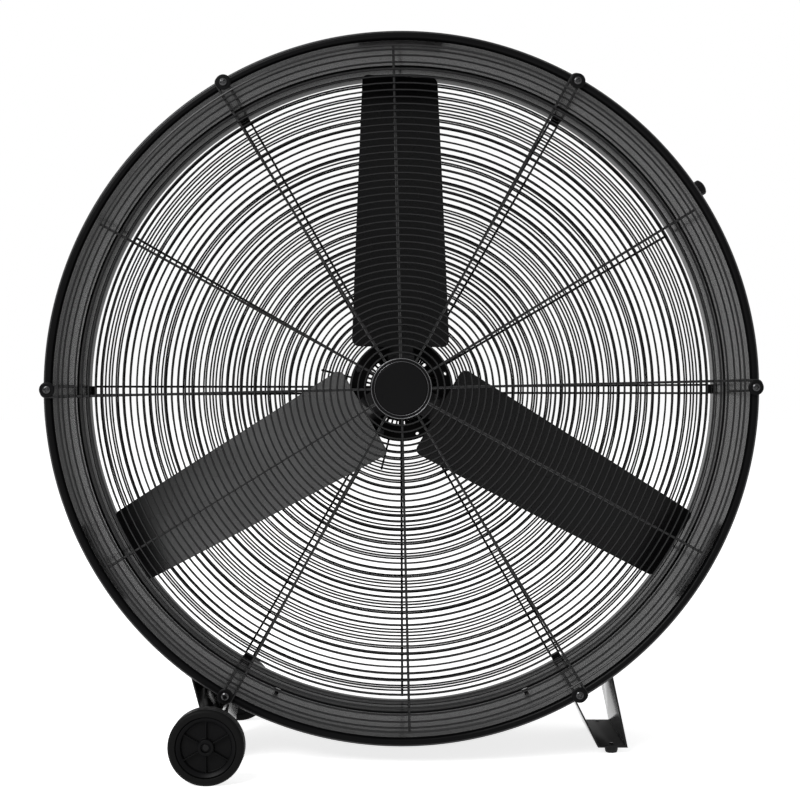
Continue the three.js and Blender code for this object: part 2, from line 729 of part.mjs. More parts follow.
// Laminated ring held in the can by ribs, which leave the air way beside it open.
function statorCore() {
  const middle = MOTOR_FRONT + MOTOR_LENGTH / 2;
  const low = middle - STATOR_LENGTH / 2;
  const high = middle + STATOR_LENGTH / 2;
  const ring = ringProfile(ROTOR_RADIUS + ROTOR_AIR_GAP, STATOR_OUTER, low, high);
  const core = revolved(ring, CORE_FACETS);
  const ribEnd = (MOTOR_CAN_RADIUS - MOTOR_CAN_WALL) * Math.cos(Math.PI / MOTOR_FACETS) - CLEARANCE;
  const ribStart = STATOR_OUTER - STATOR_RIB_WIDTH / 2;
  const rib = block(ribEnd - ribStart, STATOR_LENGTH, STATOR_RIB_WIDTH, (ribEnd + ribStart) / 2, middle, 0);
  const ribs = evenAngles(STATOR_RIBS).map((angle) => turned(rib, angle));
  return piece('stator_core', united([core, ...ribs]), finishes.core());
}

function bearing(name, low) {
  const profile = ringProfile(SHAFT_RADIUS + CLEARANCE, BEARING_RADIUS, low, low + BEARING_WIDTH);
  return piece(name, revolved(profile, SHAFT_FACETS), finishes.polished());
}

const motorPlateFront = motorRear + CLEARANCE;

function motorBolts() {
  const seat = MOTOR_FRONT - CLEARANCE;
  const length = MOTOR_LENGTH + 2 * CLEARANCE + BRACKET_PLATE + MOTOR_BOLT_HEAD;
  const profile = screwProfile(seat, MOTOR_BOLT_RADIUS, length, MOTOR_BOLT_HEAD_RADIUS, MOTOR_BOLT_HEAD);
  const bolt = revolved(profile, SCREW_FACETS);
  return cornerAngles.map((angle, i) => {
    const spot = facing(angle + MOTOR_BOLT_ANGLE);
    const mesh = piece(`motor_bolt_${i + 1}`, bolt, finishes.steel());
    mesh.position.x = MOTOR_BOLT_CIRCLE;
    spot.add(mesh);
    return spot;
  });
}

// Ring plate behind the motor with four arms on edge, which rest on the rear grille's rings.
function motorBracket() {
  const disc = polygon(circlePoints(MOTOR_BELL_RADIUS, MOTOR_FACETS));
  disc.holes.push(borePath(BRACKET_BORE, CORE_FACETS), ...boltAndLugHoles());
  const plate = slab(disc, motorPlateFront, motorPlateFront + BRACKET_PLATE);
  const armFront = motorPlateFront + BRACKET_PLATE / 2;
  const armBack = rearRingRidge - CLEARANCE;
  const reach = rearRingRadii[1] + ARM_PAST_RING;
  const arm = block(
    reach - ARM_INNER, armBack - armFront, ARM_THICKNESS,
    (reach + ARM_INNER) / 2, (armFront + armBack) / 2, 0,
  );
  const arms = cornerAngles.map((angle) => turned(arm, angle + ARM_ANGLE));
  return piece('motor_bracket', united([plate, ...arms]), finishes.motor());
}

function motorParts() {
  return [
    bell('motor_bell_front', MOTOR_BELL_RADIUS, boltAndLugHoles(), MOTOR_FRONT, 1),
    motorCan(),
    bell('motor_bell_rear', MOTOR_CAN_RADIUS, [], motorRear, -1),
    statorCore(),
    bearing('bearing_front', MOTOR_FRONT),
    bearing('bearing_rear', motorRear - BEARING_WIDTH),
    motorBracket(),
    ...motorBolts(),
  ];
}

// ---- rotor ----------------------------------------------------------------------------------
const hubPlateFront = BLADE_PLANE + BLADE_SHEET / 2 + CLEARANCE;

function rotorShaft() {
  const end = motorRear + SHAFT_BEHIND_BEARING;
  const profile = [[0, SHAFT_FRONT], [SHAFT_RADIUS, SHAFT_FRONT], [SHAFT_RADIUS, end], [0, end]];
  return piece('rotor_shaft', revolved(profile, SHAFT_FACETS), finishes.polished());
}

function rotorCore() {
  const middle = MOTOR_FRONT + MOTOR_LENGTH / 2;
  const profile = ringProfile(
    SHAFT_RADIUS + CLEARANCE, ROTOR_RADIUS, middle - ROTOR_LENGTH / 2, middle + ROTOR_LENGTH / 2,
  );
  return piece('rotor_core', revolved(profile, CORE_FACETS), finishes.core());
}

const bladeBoltCircle = BLADE_ROOT_RADIUS - BLADE_BOLT_INSET;
const bladeAngles = evenAngles(BLADES, BLADE_FIRST_ANGLE);

// Boss on the shaft and a plate with one arm under each blade's neck.
function bladeHub() {
  const low = hubPlateFront - HUB_BOSS_AHEAD;
  const high = hubPlateFront + HUB_BOSS_BEHIND;
  const boss = revolved(ringProfile(SHAFT_RADIUS + CLEARANCE, HUB_BOSS_RADIUS, low, high), SHAFT_FACETS);
  const outline = bladeAngles.flatMap((angle) => {
    const half = HUB_ARM_WIDTH / 2;
    const inner = half / Math.tan(Math.PI / BLADES);
    const corners = [[inner, -half], [HUB_ARM_REACH, -half], [HUB_ARM_REACH, half]];
    return corners.map(([x, z]) => {
      const spun = new THREE.Vector2(x, z).rotateAround(new THREE.Vector2(), radians(angle));
      return [spun.x, spun.y];
    });
  });
  const plateShape = polygon(outline);
  const boltBore = BLADE_BOLT_RADIUS + CLEARANCE;
  const holes = bladeAngles.map((angle) => roundHole(boltBore, bladeBoltCircle, angle));
  plateShape.holes.push(borePath(HUB_BOSS_RADIUS - HUB_PLATE_INTO_BOSS, SHAFT_FACETS), ...holes);
  const plate = slab(plateShape, hubPlateFront, hubPlateFront + HUB_PLATE);
  return piece('blade_hub', united([boss, plate]), finishes.motor());
}

function smoothStep(value, low, high) {
  const share = THREE.MathUtils.clamp((value - low) / (high - low), 0, 1);
  return share * share * (3 - 2 * share);
}

// Stations along the blade as [radius, half width]: a neck, square shoulders and rounded corners.
function bladeStations() {
  const root = BLADE_ROOT_WIDTH / 2;
  const tip = BLADE_TIP_WIDTH / 2;
  const cutBack = (share) => BLADE_CORNER * (1 - Math.sqrt(1 - (1 - share) ** 2));
  const widthAt = (radius) => {
    const share = (radius - BLADE_ROOT_RADIUS) / (BLADE_TIP_RADIUS - BLADE_ROOT_RADIUS);
    return root + (tip - root) * share;
  };
  const shoulder = BLADE_CORNER_SHARES.map((share) => {
    const radius = BLADE_ROOT_RADIUS + BLADE_CORNER * share;
    return [radius, widthAt(radius) - cutBack(share)];
  });
  const middle = BLADE_SPAN_SHARES.map((share) => {
    const radius = BLADE_ROOT_RADIUS + (BLADE_TIP_RADIUS - BLADE_ROOT_RADIUS) * share;
    return [radius, widthAt(radius)];
  });
  const end = BLADE_CORNER_SHARES.map((share) => {
    const radius = BLADE_TIP_RADIUS - BLADE_CORNER * share;
    return [radius, widthAt(radius) - cutBack(share)];
  });
  const neck = BLADE_NECK_WIDTH / 2;
  return [
    [BLADE_NECK_INNER, neck], [BLADE_TWIST_START, neck], [BLADE_ROOT_RADIUS - BLADE_SHOULDER, neck],
    ...shoulder, [(2 * BLADE_TWIST_END + BLADE_ROOT_RADIUS) / 3, widthAt(BLADE_TWIST_END)],
    ...middle, ...end.reverse(),
  ];
}

// Point on the blade's middle surface: across is -1 to 1 over the chord.
function bladePoint(radius, halfWidth, across) {
  const twist = smoothStep(radius, BLADE_TWIST_START, BLADE_TWIST_END);
  const span = (radius - BLADE_ROOT_RADIUS) / (BLADE_TIP_RADIUS - BLADE_ROOT_RADIUS);
  const pitch = radians(THREE.MathUtils.lerp(BLADE_ROOT_PITCH, BLADE_TIP_PITCH, Math.max(span, 0))) * twist;
  const offset = across * halfWidth;
  const camber = BLADE_CAMBER * twist * (1 - across * across);
  return [radius, BLADE_PLANE - offset * Math.sin(pitch) + camber, offset * Math.cos(pitch)];
}

function blade(name) {
  const stations = bladeStations();
  const columns = BLADE_CHORD_SHARES.length;
  const vertices = [];
  [-1, 1].forEach((side) => {
    stations.forEach(([radius, halfWidth]) => {
      BLADE_CHORD_SHARES.forEach((across) => {
        const [x, y, z] = bladePoint(radius, halfWidth, across);
        vertices.push(x, y + (side * BLADE_SHEET) / 2, z);
      });
    });
  });
  const layer = stations.length * columns;
  const faces = [];
  const quad = (a, b, c, d) => faces.push(a, b, c, a, c, d);
  for (let i = 0; i + 1 < stations.length; i += 1) {
    for (let k = 0; k + 1 < columns; k += 1) {
      const corner = i * columns + k;
      quad(corner, corner + columns, corner + columns + 1, corner + 1);
      quad(corner + layer, corner + layer + 1, corner + layer + columns + 1, corner + layer + columns);
    }
    const start = i * columns;
    const finishEdge = start + columns - 1;
    quad(start, start + layer, start + layer + columns, start + columns);
    quad(finishEdge, finishEdge + columns, finishEdge + layer + columns, finishEdge + layer);
  }
  for (let k = 0; k + 1 < columns; k += 1) {
    const last = (stations.length - 1) * columns + k;
    quad(k, k + 1, k + layer + 1, k + layer);
    quad(last, last + layer, last + layer + 1, last + 1);
  }
  const geometry = new THREE.BufferGeometry();
  geometry.setAttribute('position', new THREE.Float32BufferAttribute(vertices, 3));
  geometry.setIndex(faces);
  const hole = slab(
    polygon(borePoints(BLADE_BOLT_RADIUS + CLEARANCE, SCREW_FACETS, bladeBoltCircle, 0)),
    BLADE_PLANE - 2 * BLADE_SHEET, BLADE_PLANE + 2 * BLADE_SHEET,
  );
  return piece(name, cutBy(closed(geometry), [hole]), finishes.blade());
}

function bladeBolt(name) {
  const seat = BLADE_PLANE - BLADE_SHEET / 2 - CLEARANCE;
  const length = BLADE_SHEET + 2 * CLEARANCE + HUB_PLATE + BLADE_BOLT_HEAD;
  const profile = screwProfile(seat, BLADE_BOLT_RADIUS, length, BLADE_BOLT_HEAD_RADIUS, BLADE_BOLT_HEAD);
  const mesh = piece(name, revolved(profile, SCREW_FACETS), finishes.steel());
  mesh.position.x = bladeBoltCircle;
  return mesh;
}

function shaftNut() {
  const back = hubPlateFront - HUB_BOSS_AHEAD - CLEARANCE;
  const hexagon = polygon(circlePoints(SHAFT_NUT_RADIUS, SCREW_FACETS));
  hexagon.holes.push(borePath(SHAFT_RADIUS + CLEARANCE, SHAFT_FACETS));
  return piece('shaft_nut', slab(hexagon, back - SHAFT_NUT_WIDTH, back), finishes.steel());
}

function rotorParts() {
  const blades = bladeAngles.map((angle, i) => {
    const spot = facing(angle);
    spot.add(blade(`blade_${i + 1}`), bladeBolt(`blade_bolt_${i + 1}`));
    return spot;
  });
  return [rotorShaft(), rotorCore(), bladeHub(), shaftNut(), ...blades];
}

// ---- control box, drawn with its own +X pointing out of the drum ------------------------------
const boxEnd = BOX_START + BOX_LENGTH;
const boxTop = DRUM_SKIN_RADIUS + CLEARANCE + BOX_HEIGHT;
const coverTop = boxTop + CLEARANCE + BOX_COVER;
const switchY = BOX_START + SWITCH_ALONG;
const glandHeight = boxTop - BOX_HEIGHT / 2;

// Base radius that clears the drum's skin, flat facets of the base counted in.
function boxOutline(inset) {
  const half = BOX_WIDTH / 2 - inset;
  const halfFacet = half / (BOX_BASE_POINTS - 1);
  const sag = (halfFacet * halfFacet) / (2 * DRUM_SKIN_RADIUS);
  const radius = DRUM_SKIN_RADIUS + CLEARANCE + inset + sag;
  const base = evenSteps(-half, half, BOX_BASE_POINTS)
    .map((z) => [Math.sqrt(radius * radius - z * z) + CLEARANCE, z]);
  const top = boxTop + (inset > 0 ? OVERLAP : 0);
  return polygon([...base, [top, half], [top, -half]]);
}

function controlBox() {
  const outside = slab(boxOutline(0), BOX_START, boxEnd);
  const inside = slab(boxOutline(BOX_WALL), BOX_START + BOX_WALL, boxEnd - BOX_WALL);
  const glandBore = polygon(borePoints(GLAND_RADIUS + CLEARANCE, PIN_FACETS, glandHeight, 0));
  const glandHole = slab(glandBore, boxEnd - 2 * BOX_WALL, boxEnd + OVERLAP);
  return piece('control_box', cutBy(outside, [inside, glandHole]), finishes.box());
}

// Stands a cylinder on the switch's axis, from low to high out of the drum.
function onSwitchAxis(cylinder, low, high) {
  return cylinder.rotateZ(-Math.PI / 2).translate((low + high) / 2, switchY, 0);
}

function switchPin(radius, low, high) {
  return onSwitchAxis(new THREE.CylinderGeometry(radius, radius, high - low, PIN_FACETS), low, high);
}

function controlBoxCover() {
  const low = boxTop + CLEARANCE;
  const plate = block(BOX_COVER, BOX_LENGTH, BOX_WIDTH, low + BOX_COVER / 2, BOX_START + BOX_LENGTH / 2, 0);
  const drill = drillBit(SWITCH_BUSH_RADIUS + CLEARANCE, 3 * BOX_COVER, PIN_FACETS);
  const hole = onSwitchAxis(drill, low - BOX_COVER, coverTop + BOX_COVER);
  return piece('control_box_cover', cutBy(plate, [hole]), finishes.box());
}

function rotarySwitch() {
  const bodyTop = boxTop - CLEARANCE;
  const body = block(SWITCH_DEPTH, SWITCH_BODY, SWITCH_BODY, bodyTop - SWITCH_DEPTH / 2, switchY, 0);
  const bush = switchPin(SWITCH_BUSH_RADIUS, bodyTop - OVERLAP, coverTop);
  const shaft = switchPin(SWITCH_SHAFT_RADIUS, coverTop - OVERLAP, coverTop + SWITCH_SHAFT_LENGTH);
  return piece('rotary_switch', united([body, bush, shaft]), finishes.plastic());
}

function runCapacitor() {
  const x = boxTop - CLEARANCE - CAPACITOR_HEIGHT / 2;
  const y = boxEnd - BOX_WALL - GLAND_NUT_RADIUS - CAPACITOR_LENGTH / 2;
  const z = -BOX_WIDTH / 2 + BOX_WALL + CLEARANCE + CAPACITOR_WIDTH / 2;
  const body = block(CAPACITOR_HEIGHT, CAPACITOR_LENGTH, CAPACITOR_WIDTH, x, y, z);
  return piece('run_capacitor', body, finishes.plastic());
}

function cableGland() {
  const collar = boxEnd + CLEARANCE;
  const tail = collar + GLAND_LENGTH;
  const profile = [
    [GLAND_BORE, collar - BOX_WALL - GLAND_RADIUS], [GLAND_RADIUS, collar - BOX_WALL - GLAND_RADIUS],
    [GLAND_RADIUS, collar], [GLAND_NUT_RADIUS, collar], [GLAND_NUT_RADIUS, collar + GLAND_LENGTH / 2],
    [GLAND_RADIUS - GLAND_TAPER, tail], [GLAND_BORE, tail],
  ];
  const mesh = piece('cable_gland', revolved(profile, SHAFT_FACETS), finishes.plastic());
  mesh.position.x = glandHeight;
  return mesh;
}

// Domed knob with a pointer groove across half its top and a blind bore for the switch shaft.
function knob() {
  const low = coverTop + CLEARANCE;
  const rise = SWITCH_SHAFT_LENGTH;
  const crown = KNOB_HEIGHT + KNOB_DOME;
  const dome = evenSteps(1, 0, KNOB_DOME_POINTS)
    .map((share) => [(KNOB_RADIUS - KNOB_EDGE) * share, KNOB_HEIGHT + KNOB_DOME * (1 - share * share)]);
  const profile = [
    [0, rise], [SWITCH_SHAFT_RADIUS + CLEARANCE, rise], [SWITCH_SHAFT_RADIUS + CLEARANCE, 0],
    [KNOB_RADIUS, 0], ...dome,
  ];
  const body = revolved(profile, KNOB_FACETS).rotateZ(-Math.PI / 2).translate(low, switchY, 0);
  const markFloor = low + KNOB_HEIGHT - KNOB_MARK_DEPTH;
  const markTop = low + crown + OVERLAP;
  const mark = block(
    markTop - markFloor, KNOB_RADIUS, KNOB_MARK_WIDTH,
    (markTop + markFloor) / 2, switchY - KNOB_RADIUS / 2, 0,
  );
  return piece('knob', cutBy(body, [mark]), finishes.plastic());
}

function controlParts() {
  const spot = facing(BOX_ANGLE);
  spot.add(controlBox(), controlBoxCover(), rotarySwitch(), runCapacitor(), cableGland(), knob());
  return spot;
}

// ---- straps under the drum --------------------------------------------------------------------
const flangeBend = Math.cos(radians(STRAP_FLANGE_HALF_FACET));
const strapRadius = (DRUM_SKIN_RADIUS + CLEARANCE + STRAP_SHEET / 2) / flangeBend;

// The middle of a flange's sheet against the drum's skin, as [x, z].
function onSkin(x) {
  return [x, AXIS_HEIGHT - Math.sqrt(strapRadius * strapRadius - x * x)];
}

// Outline of a strip of sheet along a line of points.
function stripOutline(line, sheet) {
  const steps = stepsAcross(line);
  const offset = (shift) => line.map(([x, z], i) => [x + steps[i][0] * shift, z + steps[i][1] * shift]);
  return polygon([...offset(sheet / 2), ...offset(-sheet / 2).reverse()]);
}

// Flange along the drum, wall down, bottom, wall up, flange; side is -1 left of the axis, 1 right.
function strapLine(innerFoot, outerFoot, bottom) {
  const innerEnd = STRAP_INNER_TOP - STRAP_INNER_FLANGE;
  const outerEnd = STRAP_OUTER_TOP + STRAP_OUTER_FLANGE;
  return [
    ...evenSteps(innerEnd, STRAP_INNER_TOP, STRAP_INNER_FLANGE_POINTS).map(onSkin),
    [innerFoot, bottom], [outerFoot, bottom],
    ...evenSteps(STRAP_OUTER_TOP, outerEnd, STRAP_OUTER_FLANGE_POINTS).map(onSkin),
  ];
}

// Foot of the wheel strap's inner wall, which runs down from the drum and touches the axle's tube.
function wheelWallFoot() {
  const top = onSkin(STRAP_INNER_TOP);
  const toAxle = new THREE.Vector2(-WHEEL_X - top[0], WHEEL_RADIUS - top[1]);
  const fromAxle = AXLE_TUBE_RADIUS + CLEARANCE + STRAP_SHEET / 2;
  const slope = toAxle.angle() - Math.asin(fromAxle / toAxle.length());
  return top[0] + (WHEEL_STRAP_BOTTOM - top[1]) / Math.tan(slope);
}

function strapBoltHole(side) {
  const drill = drillBit(BOLT_RADIUS + CLEARANCE, BOLT_DRILL, SCREW_FACETS);
  drill.rotateZ(Math.PI / 2).translate(strapRadius, STRAP_BOLT_Y, 0);
  return turned(drill, STRAIGHT_DOWN + side * strapBoltAngle).translate(0, 0, AXIS_HEIGHT);
}

// Notches through a strap's flanges where the drum's swage and crease stand out.
function flangeReliefs() {
  const outer = (DRUM_SKIN_RADIUS + SWAGE_HEIGHT + CLEARANCE) / Math.cos(DRUM_HALF_FACET / 2);
  return [[SWAGE_FROM_FRONT, SWAGE_WIDTH], [CREASE_FROM_FRONT, CREASE_WIDTH]].map(([fromFront, width]) => {
    const middle = DRUM_FRONT + fromFront;
    const half = width / 2 + CLEARANCE;
    const ring = ringProfile(DRUM_BORE_RADIUS - SWAGE_HEIGHT, outer, middle - half, middle + half);
    return revolved(ring, 2 * DRUM_FACETS).translate(0, 0, AXIS_HEIGHT);
  });
}

function strap(name, side, line, front, length, extraHoles) {
  const outline = stripOutline(line.map(([x, z]) => [side * x, z]), STRAP_SHEET);
  const body = slab(outline, front, front + length);
  const cuts = [strapBoltHole(side), ...flangeReliefs(), ...extraHoles];
  return piece(name, cutBy(body, cuts), finishes.strap());
}

function strapBolt(name, side) {
  const headSeat = DRUM_BORE_RADIUS * Math.cos(DRUM_HALF_FACET) - CLEARANCE;
  const tail = strapRadius + STRAP_SHEET / 2 + BOLT_PAST_STRAP;
  const profile = screwProfile(headSeat, BOLT_RADIUS, tail - headSeat, BOLT_HEAD_RADIUS, BOLT_HEAD);
  const mesh = piece(name, revolved(profile, SCREW_FACETS), finishes.steel());
  mesh.rotation.z = -Math.PI / 2;
  mesh.position.y = STRAP_BOLT_Y;
  const spot = facing(STRAIGHT_DOWN + side * strapBoltAngle, 0, 0, AXIS_HEIGHT);
  spot.add(mesh);
  return spot;
}

// ---- wheels -----------------------------------------------------------------------------------
// One wheel with its outer face at y = 0 and its inner face at y = WHEEL_WIDTH.
function wheelRim(name) {
  const outer = TYRE_INNER_RADIUS - CLEARANCE;
  const low = RIM_SET_BACK;
  const high = WHEEL_WIDTH - RIM_SET_BACK;
  const bore = AXLE_RADIUS + CLEARANCE;
  const profile = [
    [bore, low + RIM_SOCKET_DEPTH], [RIM_SOCKET_RADIUS, low + RIM_SOCKET_DEPTH], [RIM_SOCKET_RADIUS, low],
    [RIM_BOSS_RADIUS, low], [RIM_BOSS_RADIUS, low + RIM_DISH], [RIM_RING_RADIUS, low + RIM_DISH],
    [RIM_RING_RADIUS, low], [outer, low], [outer, high], [bore, high],
  ];
  const ribLow = low + RIM_RIB_DROP;
  const ribHigh = low + RIM_DISH + OVERLAP;
  const reach = RIM_RING_RADIUS - RIM_BOSS_RADIUS + 2 * OVERLAP;
  const rib = block(
    reach, ribHigh - ribLow, RIM_RIB_WIDTH,
    (RIM_RING_RADIUS + RIM_BOSS_RADIUS) / 2, (ribLow + ribHigh) / 2, 0,
  );
  const ribs = evenAngles(RIM_RIBS, RIM_RIB_ANGLE).map((angle) => turned(rib, angle));
  return piece(name, united([revolved(profile, WHEEL_FACETS), ...ribs]), finishes.plastic());
}

function tyre(name) {
  const profile = [
    [TYRE_INNER_RADIUS, 0], [WHEEL_RADIUS - TYRE_CROWN, 0], [WHEEL_RADIUS, TYRE_CROWN],
    [WHEEL_RADIUS, WHEEL_WIDTH - TYRE_CROWN], [WHEEL_RADIUS - TYRE_CROWN, WHEEL_WIDTH],
    [TYRE_INNER_RADIUS, WHEEL_WIDTH],
  ];
  return piece(name, revolved(profile, WHEEL_FACETS), finishes.rubber());
}

// Push-on ring in the rim's socket that keeps the wheel on the axle.
function wheelClip(name) {
  const low = RIM_SET_BACK + RIM_SOCKET_DEPTH - CLEARANCE - CLIP_WIDTH;
  const profile = ringProfile(AXLE_RADIUS + CLEARANCE, RIM_SOCKET_RADIUS - CLEARANCE, low, low + CLIP_WIDTH);
  return piece(name, revolved(profile, PIN_FACETS), finishes.polished());
}

function wheel(prefix, side) {
  const spot = placedAt(WHEEL_X, side * WHEEL_FACE, WHEEL_RADIUS);
  spot.rotation.z = side > 0 ? Math.PI : 0;
  spot.add(wheelRim(`${prefix}_wheel_rim`), tyre(`${prefix}_tyre`), wheelClip(`${prefix}_wheel_clip`));
  return spot;
}

function axle() {
  const end = WHEEL_FACE - AXLE_END_INSET;
  const profile = [[0, -end], [AXLE_RADIUS, -end], [AXLE_RADIUS, end], [0, end]];
  const mesh = piece('axle', revolved(profile, SHAFT_FACETS), finishes.steel());
  mesh.position.set(WHEEL_X, 0, WHEEL_RADIUS);
  return mesh;
}

// Tube welded to the strap's inner wall, in which the axle lies.
function axleTube() {
  const low = WHEEL_STRAP_FRONT;
  const profile = ringProfile(AXLE_RADIUS + CLEARANCE, AXLE_TUBE_RADIUS, low, low + WHEEL_STRAP_LENGTH);
  const mesh = piece('axle_tube', revolved(profile, SHAFT_FACETS), finishes.strap());
  mesh.position.set(WHEEL_X, 0, WHEEL_RADIUS);
  return mesh;
}

// ---- feet -------------------------------------------------------------------------------------
const footStrapBottom = FOOT_HEIGHT + CLEARANCE + STRAP_SHEET / 2;
const footX = (FOOT_STRAP_INNER_FOOT + FOOT_STRAP_OUTER_FOOT) / 2;
const footYs = [FOOT_STRAP_FRONT + FOOT_FRONT_INSET, FOOT_STRAP_FRONT + FOOT_STRAP_LENGTH - FOOT_REAR_INSET];
const footScrewSeat = FOOT_HEIGHT + 2 * CLEARANCE + STRAP_SHEET;

function upright(geometry) {
  return geometry.clone().rotateX(Math.PI / 2);
}

function footHoles() {
  const drill = upright(drillBit(FOOT_SCREW_RADIUS + CLEARANCE, 6 * STRAP_SHEET, WASHER_FACETS));
  return footYs.map((y) => drill.clone().translate(footX, y, footStrapBottom));
}

function foot(name, y) {
  const socket = footScrewSeat - FOOT_SCREW_LENGTH - CLEARANCE;
  const profile = [
    [0, 0], [FOOT_SOLE_RADIUS, 0], [FOOT_TOP_RADIUS, FOOT_HEIGHT],
    [FOOT_SCREW_RADIUS + CLEARANCE, FOOT_HEIGHT], [FOOT_SCREW_RADIUS + CLEARANCE, socket], [0, socket],
  ];
  const mesh = piece(name, upright(revolved(profile, SHAFT_FACETS)), finishes.rubber());
  mesh.position.set(footX, y, 0);
  return mesh;
}

function footScrew(name, y) {
  const low = footScrewSeat - FOOT_SCREW_LENGTH;
  const profile = [
    [0, low], [FOOT_SCREW_RADIUS, low],
    [FOOT_SCREW_RADIUS, footScrewSeat], [FOOT_SCREW_HEAD_RADIUS, footScrewSeat],
    [FOOT_SCREW_HEAD_TOP_RADIUS, footScrewSeat + FOOT_SCREW_HEAD], [0, footScrewSeat + FOOT_SCREW_HEAD],
  ];
  const mesh = piece(name, upright(revolved(profile, WASHER_FACETS)), finishes.steel());
  mesh.position.set(footX, y, 0);
  return mesh;
}

// ---- the whole fan ----------------------------------------------------------------------------
const onFanAxis = placedAt(0, 0, AXIS_HEIGHT);
onFanAxis.add(
  drumShell(), frontGrille(), rearGrille(), badge(), badgeClamp(),
  ...grilleScrews(), ...motorParts(), ...rotorParts(), controlParts(),
);

const wheelStrapLine = strapLine(wheelWallFoot(), WHEEL_STRAP_PAST_AXLE - WHEEL_X, WHEEL_STRAP_BOTTOM);
const footStrapLine = strapLine(FOOT_STRAP_INNER_FOOT, FOOT_STRAP_OUTER_FOOT, footStrapBottom);

const group = new THREE.Group();
group.add(
  onFanAxis,
  strap('wheel_bracket', -1, wheelStrapLine, WHEEL_STRAP_FRONT, WHEEL_STRAP_LENGTH, []),
  strap('foot_bracket', 1, footStrapLine, FOOT_STRAP_FRONT, FOOT_STRAP_LENGTH, footHoles()),
  strapBolt('bracket_bolt_left', -1),
  strapBolt('bracket_bolt_right', 1),
  wheel('front', -1),
  wheel('rear', 1),
  axle(),
  axleTube(),
  foot('foot_front', footYs[0]),
  foot('foot_rear', footYs[1]),
  footScrew('foot_screw_front', footYs[0]),
  footScrew('foot_screw_rear', footYs[1]),
);

export default group;
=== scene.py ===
"""Looks of a drum fan on two wheels and two feet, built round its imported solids.

All lengths are metres in the part's own frame: +X to the right seen from the front, +Y along the
fan axis towards the rear, +Z up, and the floor at Z = 0. Angles round the fan axis are in degrees,
start at +X and grow towards +Z. Every skin is worked out as whole numpy arrays and handed to
Blender at once. A profile or line of (radius, along) is turned about Y, with along on that axis.
"""
import logging
import math
from dataclasses import dataclass, field
from enum import Enum

import bmesh
import bpy
import numpy as np
from mathutils import Matrix, Vector


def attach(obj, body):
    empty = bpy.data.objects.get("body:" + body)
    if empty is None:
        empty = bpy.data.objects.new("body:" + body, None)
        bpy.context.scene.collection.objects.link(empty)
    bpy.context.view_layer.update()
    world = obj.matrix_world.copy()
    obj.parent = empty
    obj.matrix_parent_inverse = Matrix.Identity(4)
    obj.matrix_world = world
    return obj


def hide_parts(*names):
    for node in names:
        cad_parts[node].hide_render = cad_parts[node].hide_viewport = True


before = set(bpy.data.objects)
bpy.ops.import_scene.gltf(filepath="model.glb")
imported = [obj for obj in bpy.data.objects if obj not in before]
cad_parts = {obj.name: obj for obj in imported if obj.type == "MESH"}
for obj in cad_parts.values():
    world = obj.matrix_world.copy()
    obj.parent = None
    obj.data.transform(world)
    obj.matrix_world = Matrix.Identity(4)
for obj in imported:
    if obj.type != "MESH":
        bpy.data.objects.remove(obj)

LOG = logging.getLogger("drum_fan")
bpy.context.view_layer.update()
AXIS_HEIGHT = 0.517
TURN = 2.0 * math.pi
SIXTH = 60.0

# An edge is sharp over SHARP, and a rounded corner takes up at most SIDE_SHARE of each side.
SHARP = math.radians(35)
SIDE_SHARE = 0.45

# A length under TINY counts as nought. A copy of a solid has points closer than SAME_POINT merged
# and faces within FLAT_ANGLE (in radians) joined, and its edges rounded by one of the two widths.
TINY = 1e-9
SAME_POINT = 1e-5
FLAT_ANGLE = 0.02
SHEET_EDGE = 0.0005
FINE_EDGE = 0.0004

NO_TRIS = np.zeros((0, 3), int)
ALONG_Y = (0.0, 1.0, 0.0)


# ---- skins ---------------------------------------------------------------------------------------


@dataclass(frozen=True)
class Skin:
    """A closed skin given by its points, its four-sided faces and its three-sided faces."""

    points: np.ndarray
    quads: np.ndarray
    tris: np.ndarray

    def moved(self, matrix: Matrix) -> "Skin":
        """The same skin with every point multiplied by a 4 x 4 matrix.

        Args:
            matrix: The placement, a turn and a shift.

        Returns:
            A new skin.
        """
        placed = np.array(matrix)
        return Skin(self.points @ placed[:3, :3].T + placed[:3, 3], self.quads, self.tris)

    def outward(self) -> "Skin":
        """The same skin with its faces pointing out, going by the sign of its volume.

        Returns:
            The skin itself, or one with every face's order turned round.
        """
        corners = self.points[np.concatenate([self.quads[:, :3], self.quads[:, [0, 2, 3]], self.tris])]
        crossed = np.cross(corners[:, 1], corners[:, 2])
        if np.einsum("ij,ij->", corners[:, 0], crossed) >= 0:
            return self
        return Skin(self.points, self.quads[:, ::-1], self.tris[:, ::-1])


def joined(skins: list[Skin]) -> Skin:
    """Puts several skins into one set of arrays, without merging their points.

    Args:
        skins: The skins to put together.

    Returns:
        One skin that holds them all.
    """
    starts = np.cumsum([0] + [len(skin.points) for skin in skins[:-1]])
    return Skin(
        np.concatenate([skin.points for skin in skins]),
        np.concatenate([skin.quads + start for skin, start in zip(skins, starts)]),
        np.concatenate([skin.tris + start for skin, start in zip(skins, starts)]),
    )


def cell_quads(rows: np.ndarray, wrap: bool) -> np.ndarray:
    """Four-sided faces between neighbouring rows of a grid of point numbers.

    Args:
        rows: Point numbers, one row per station.
        wrap: Whether the last column is joined to the first.

    Returns:
        Faces as an array of four point numbers each.
    """
    right = np.roll(rows, -1, axis=1) if wrap else rows[:, 1:]
    left = rows if wrap else rows[:, :-1]
    cells = np.stack([left[:-1], right[:-1], right[1:], left[1:]], axis=-1)
    return cells.reshape(-1, 4)


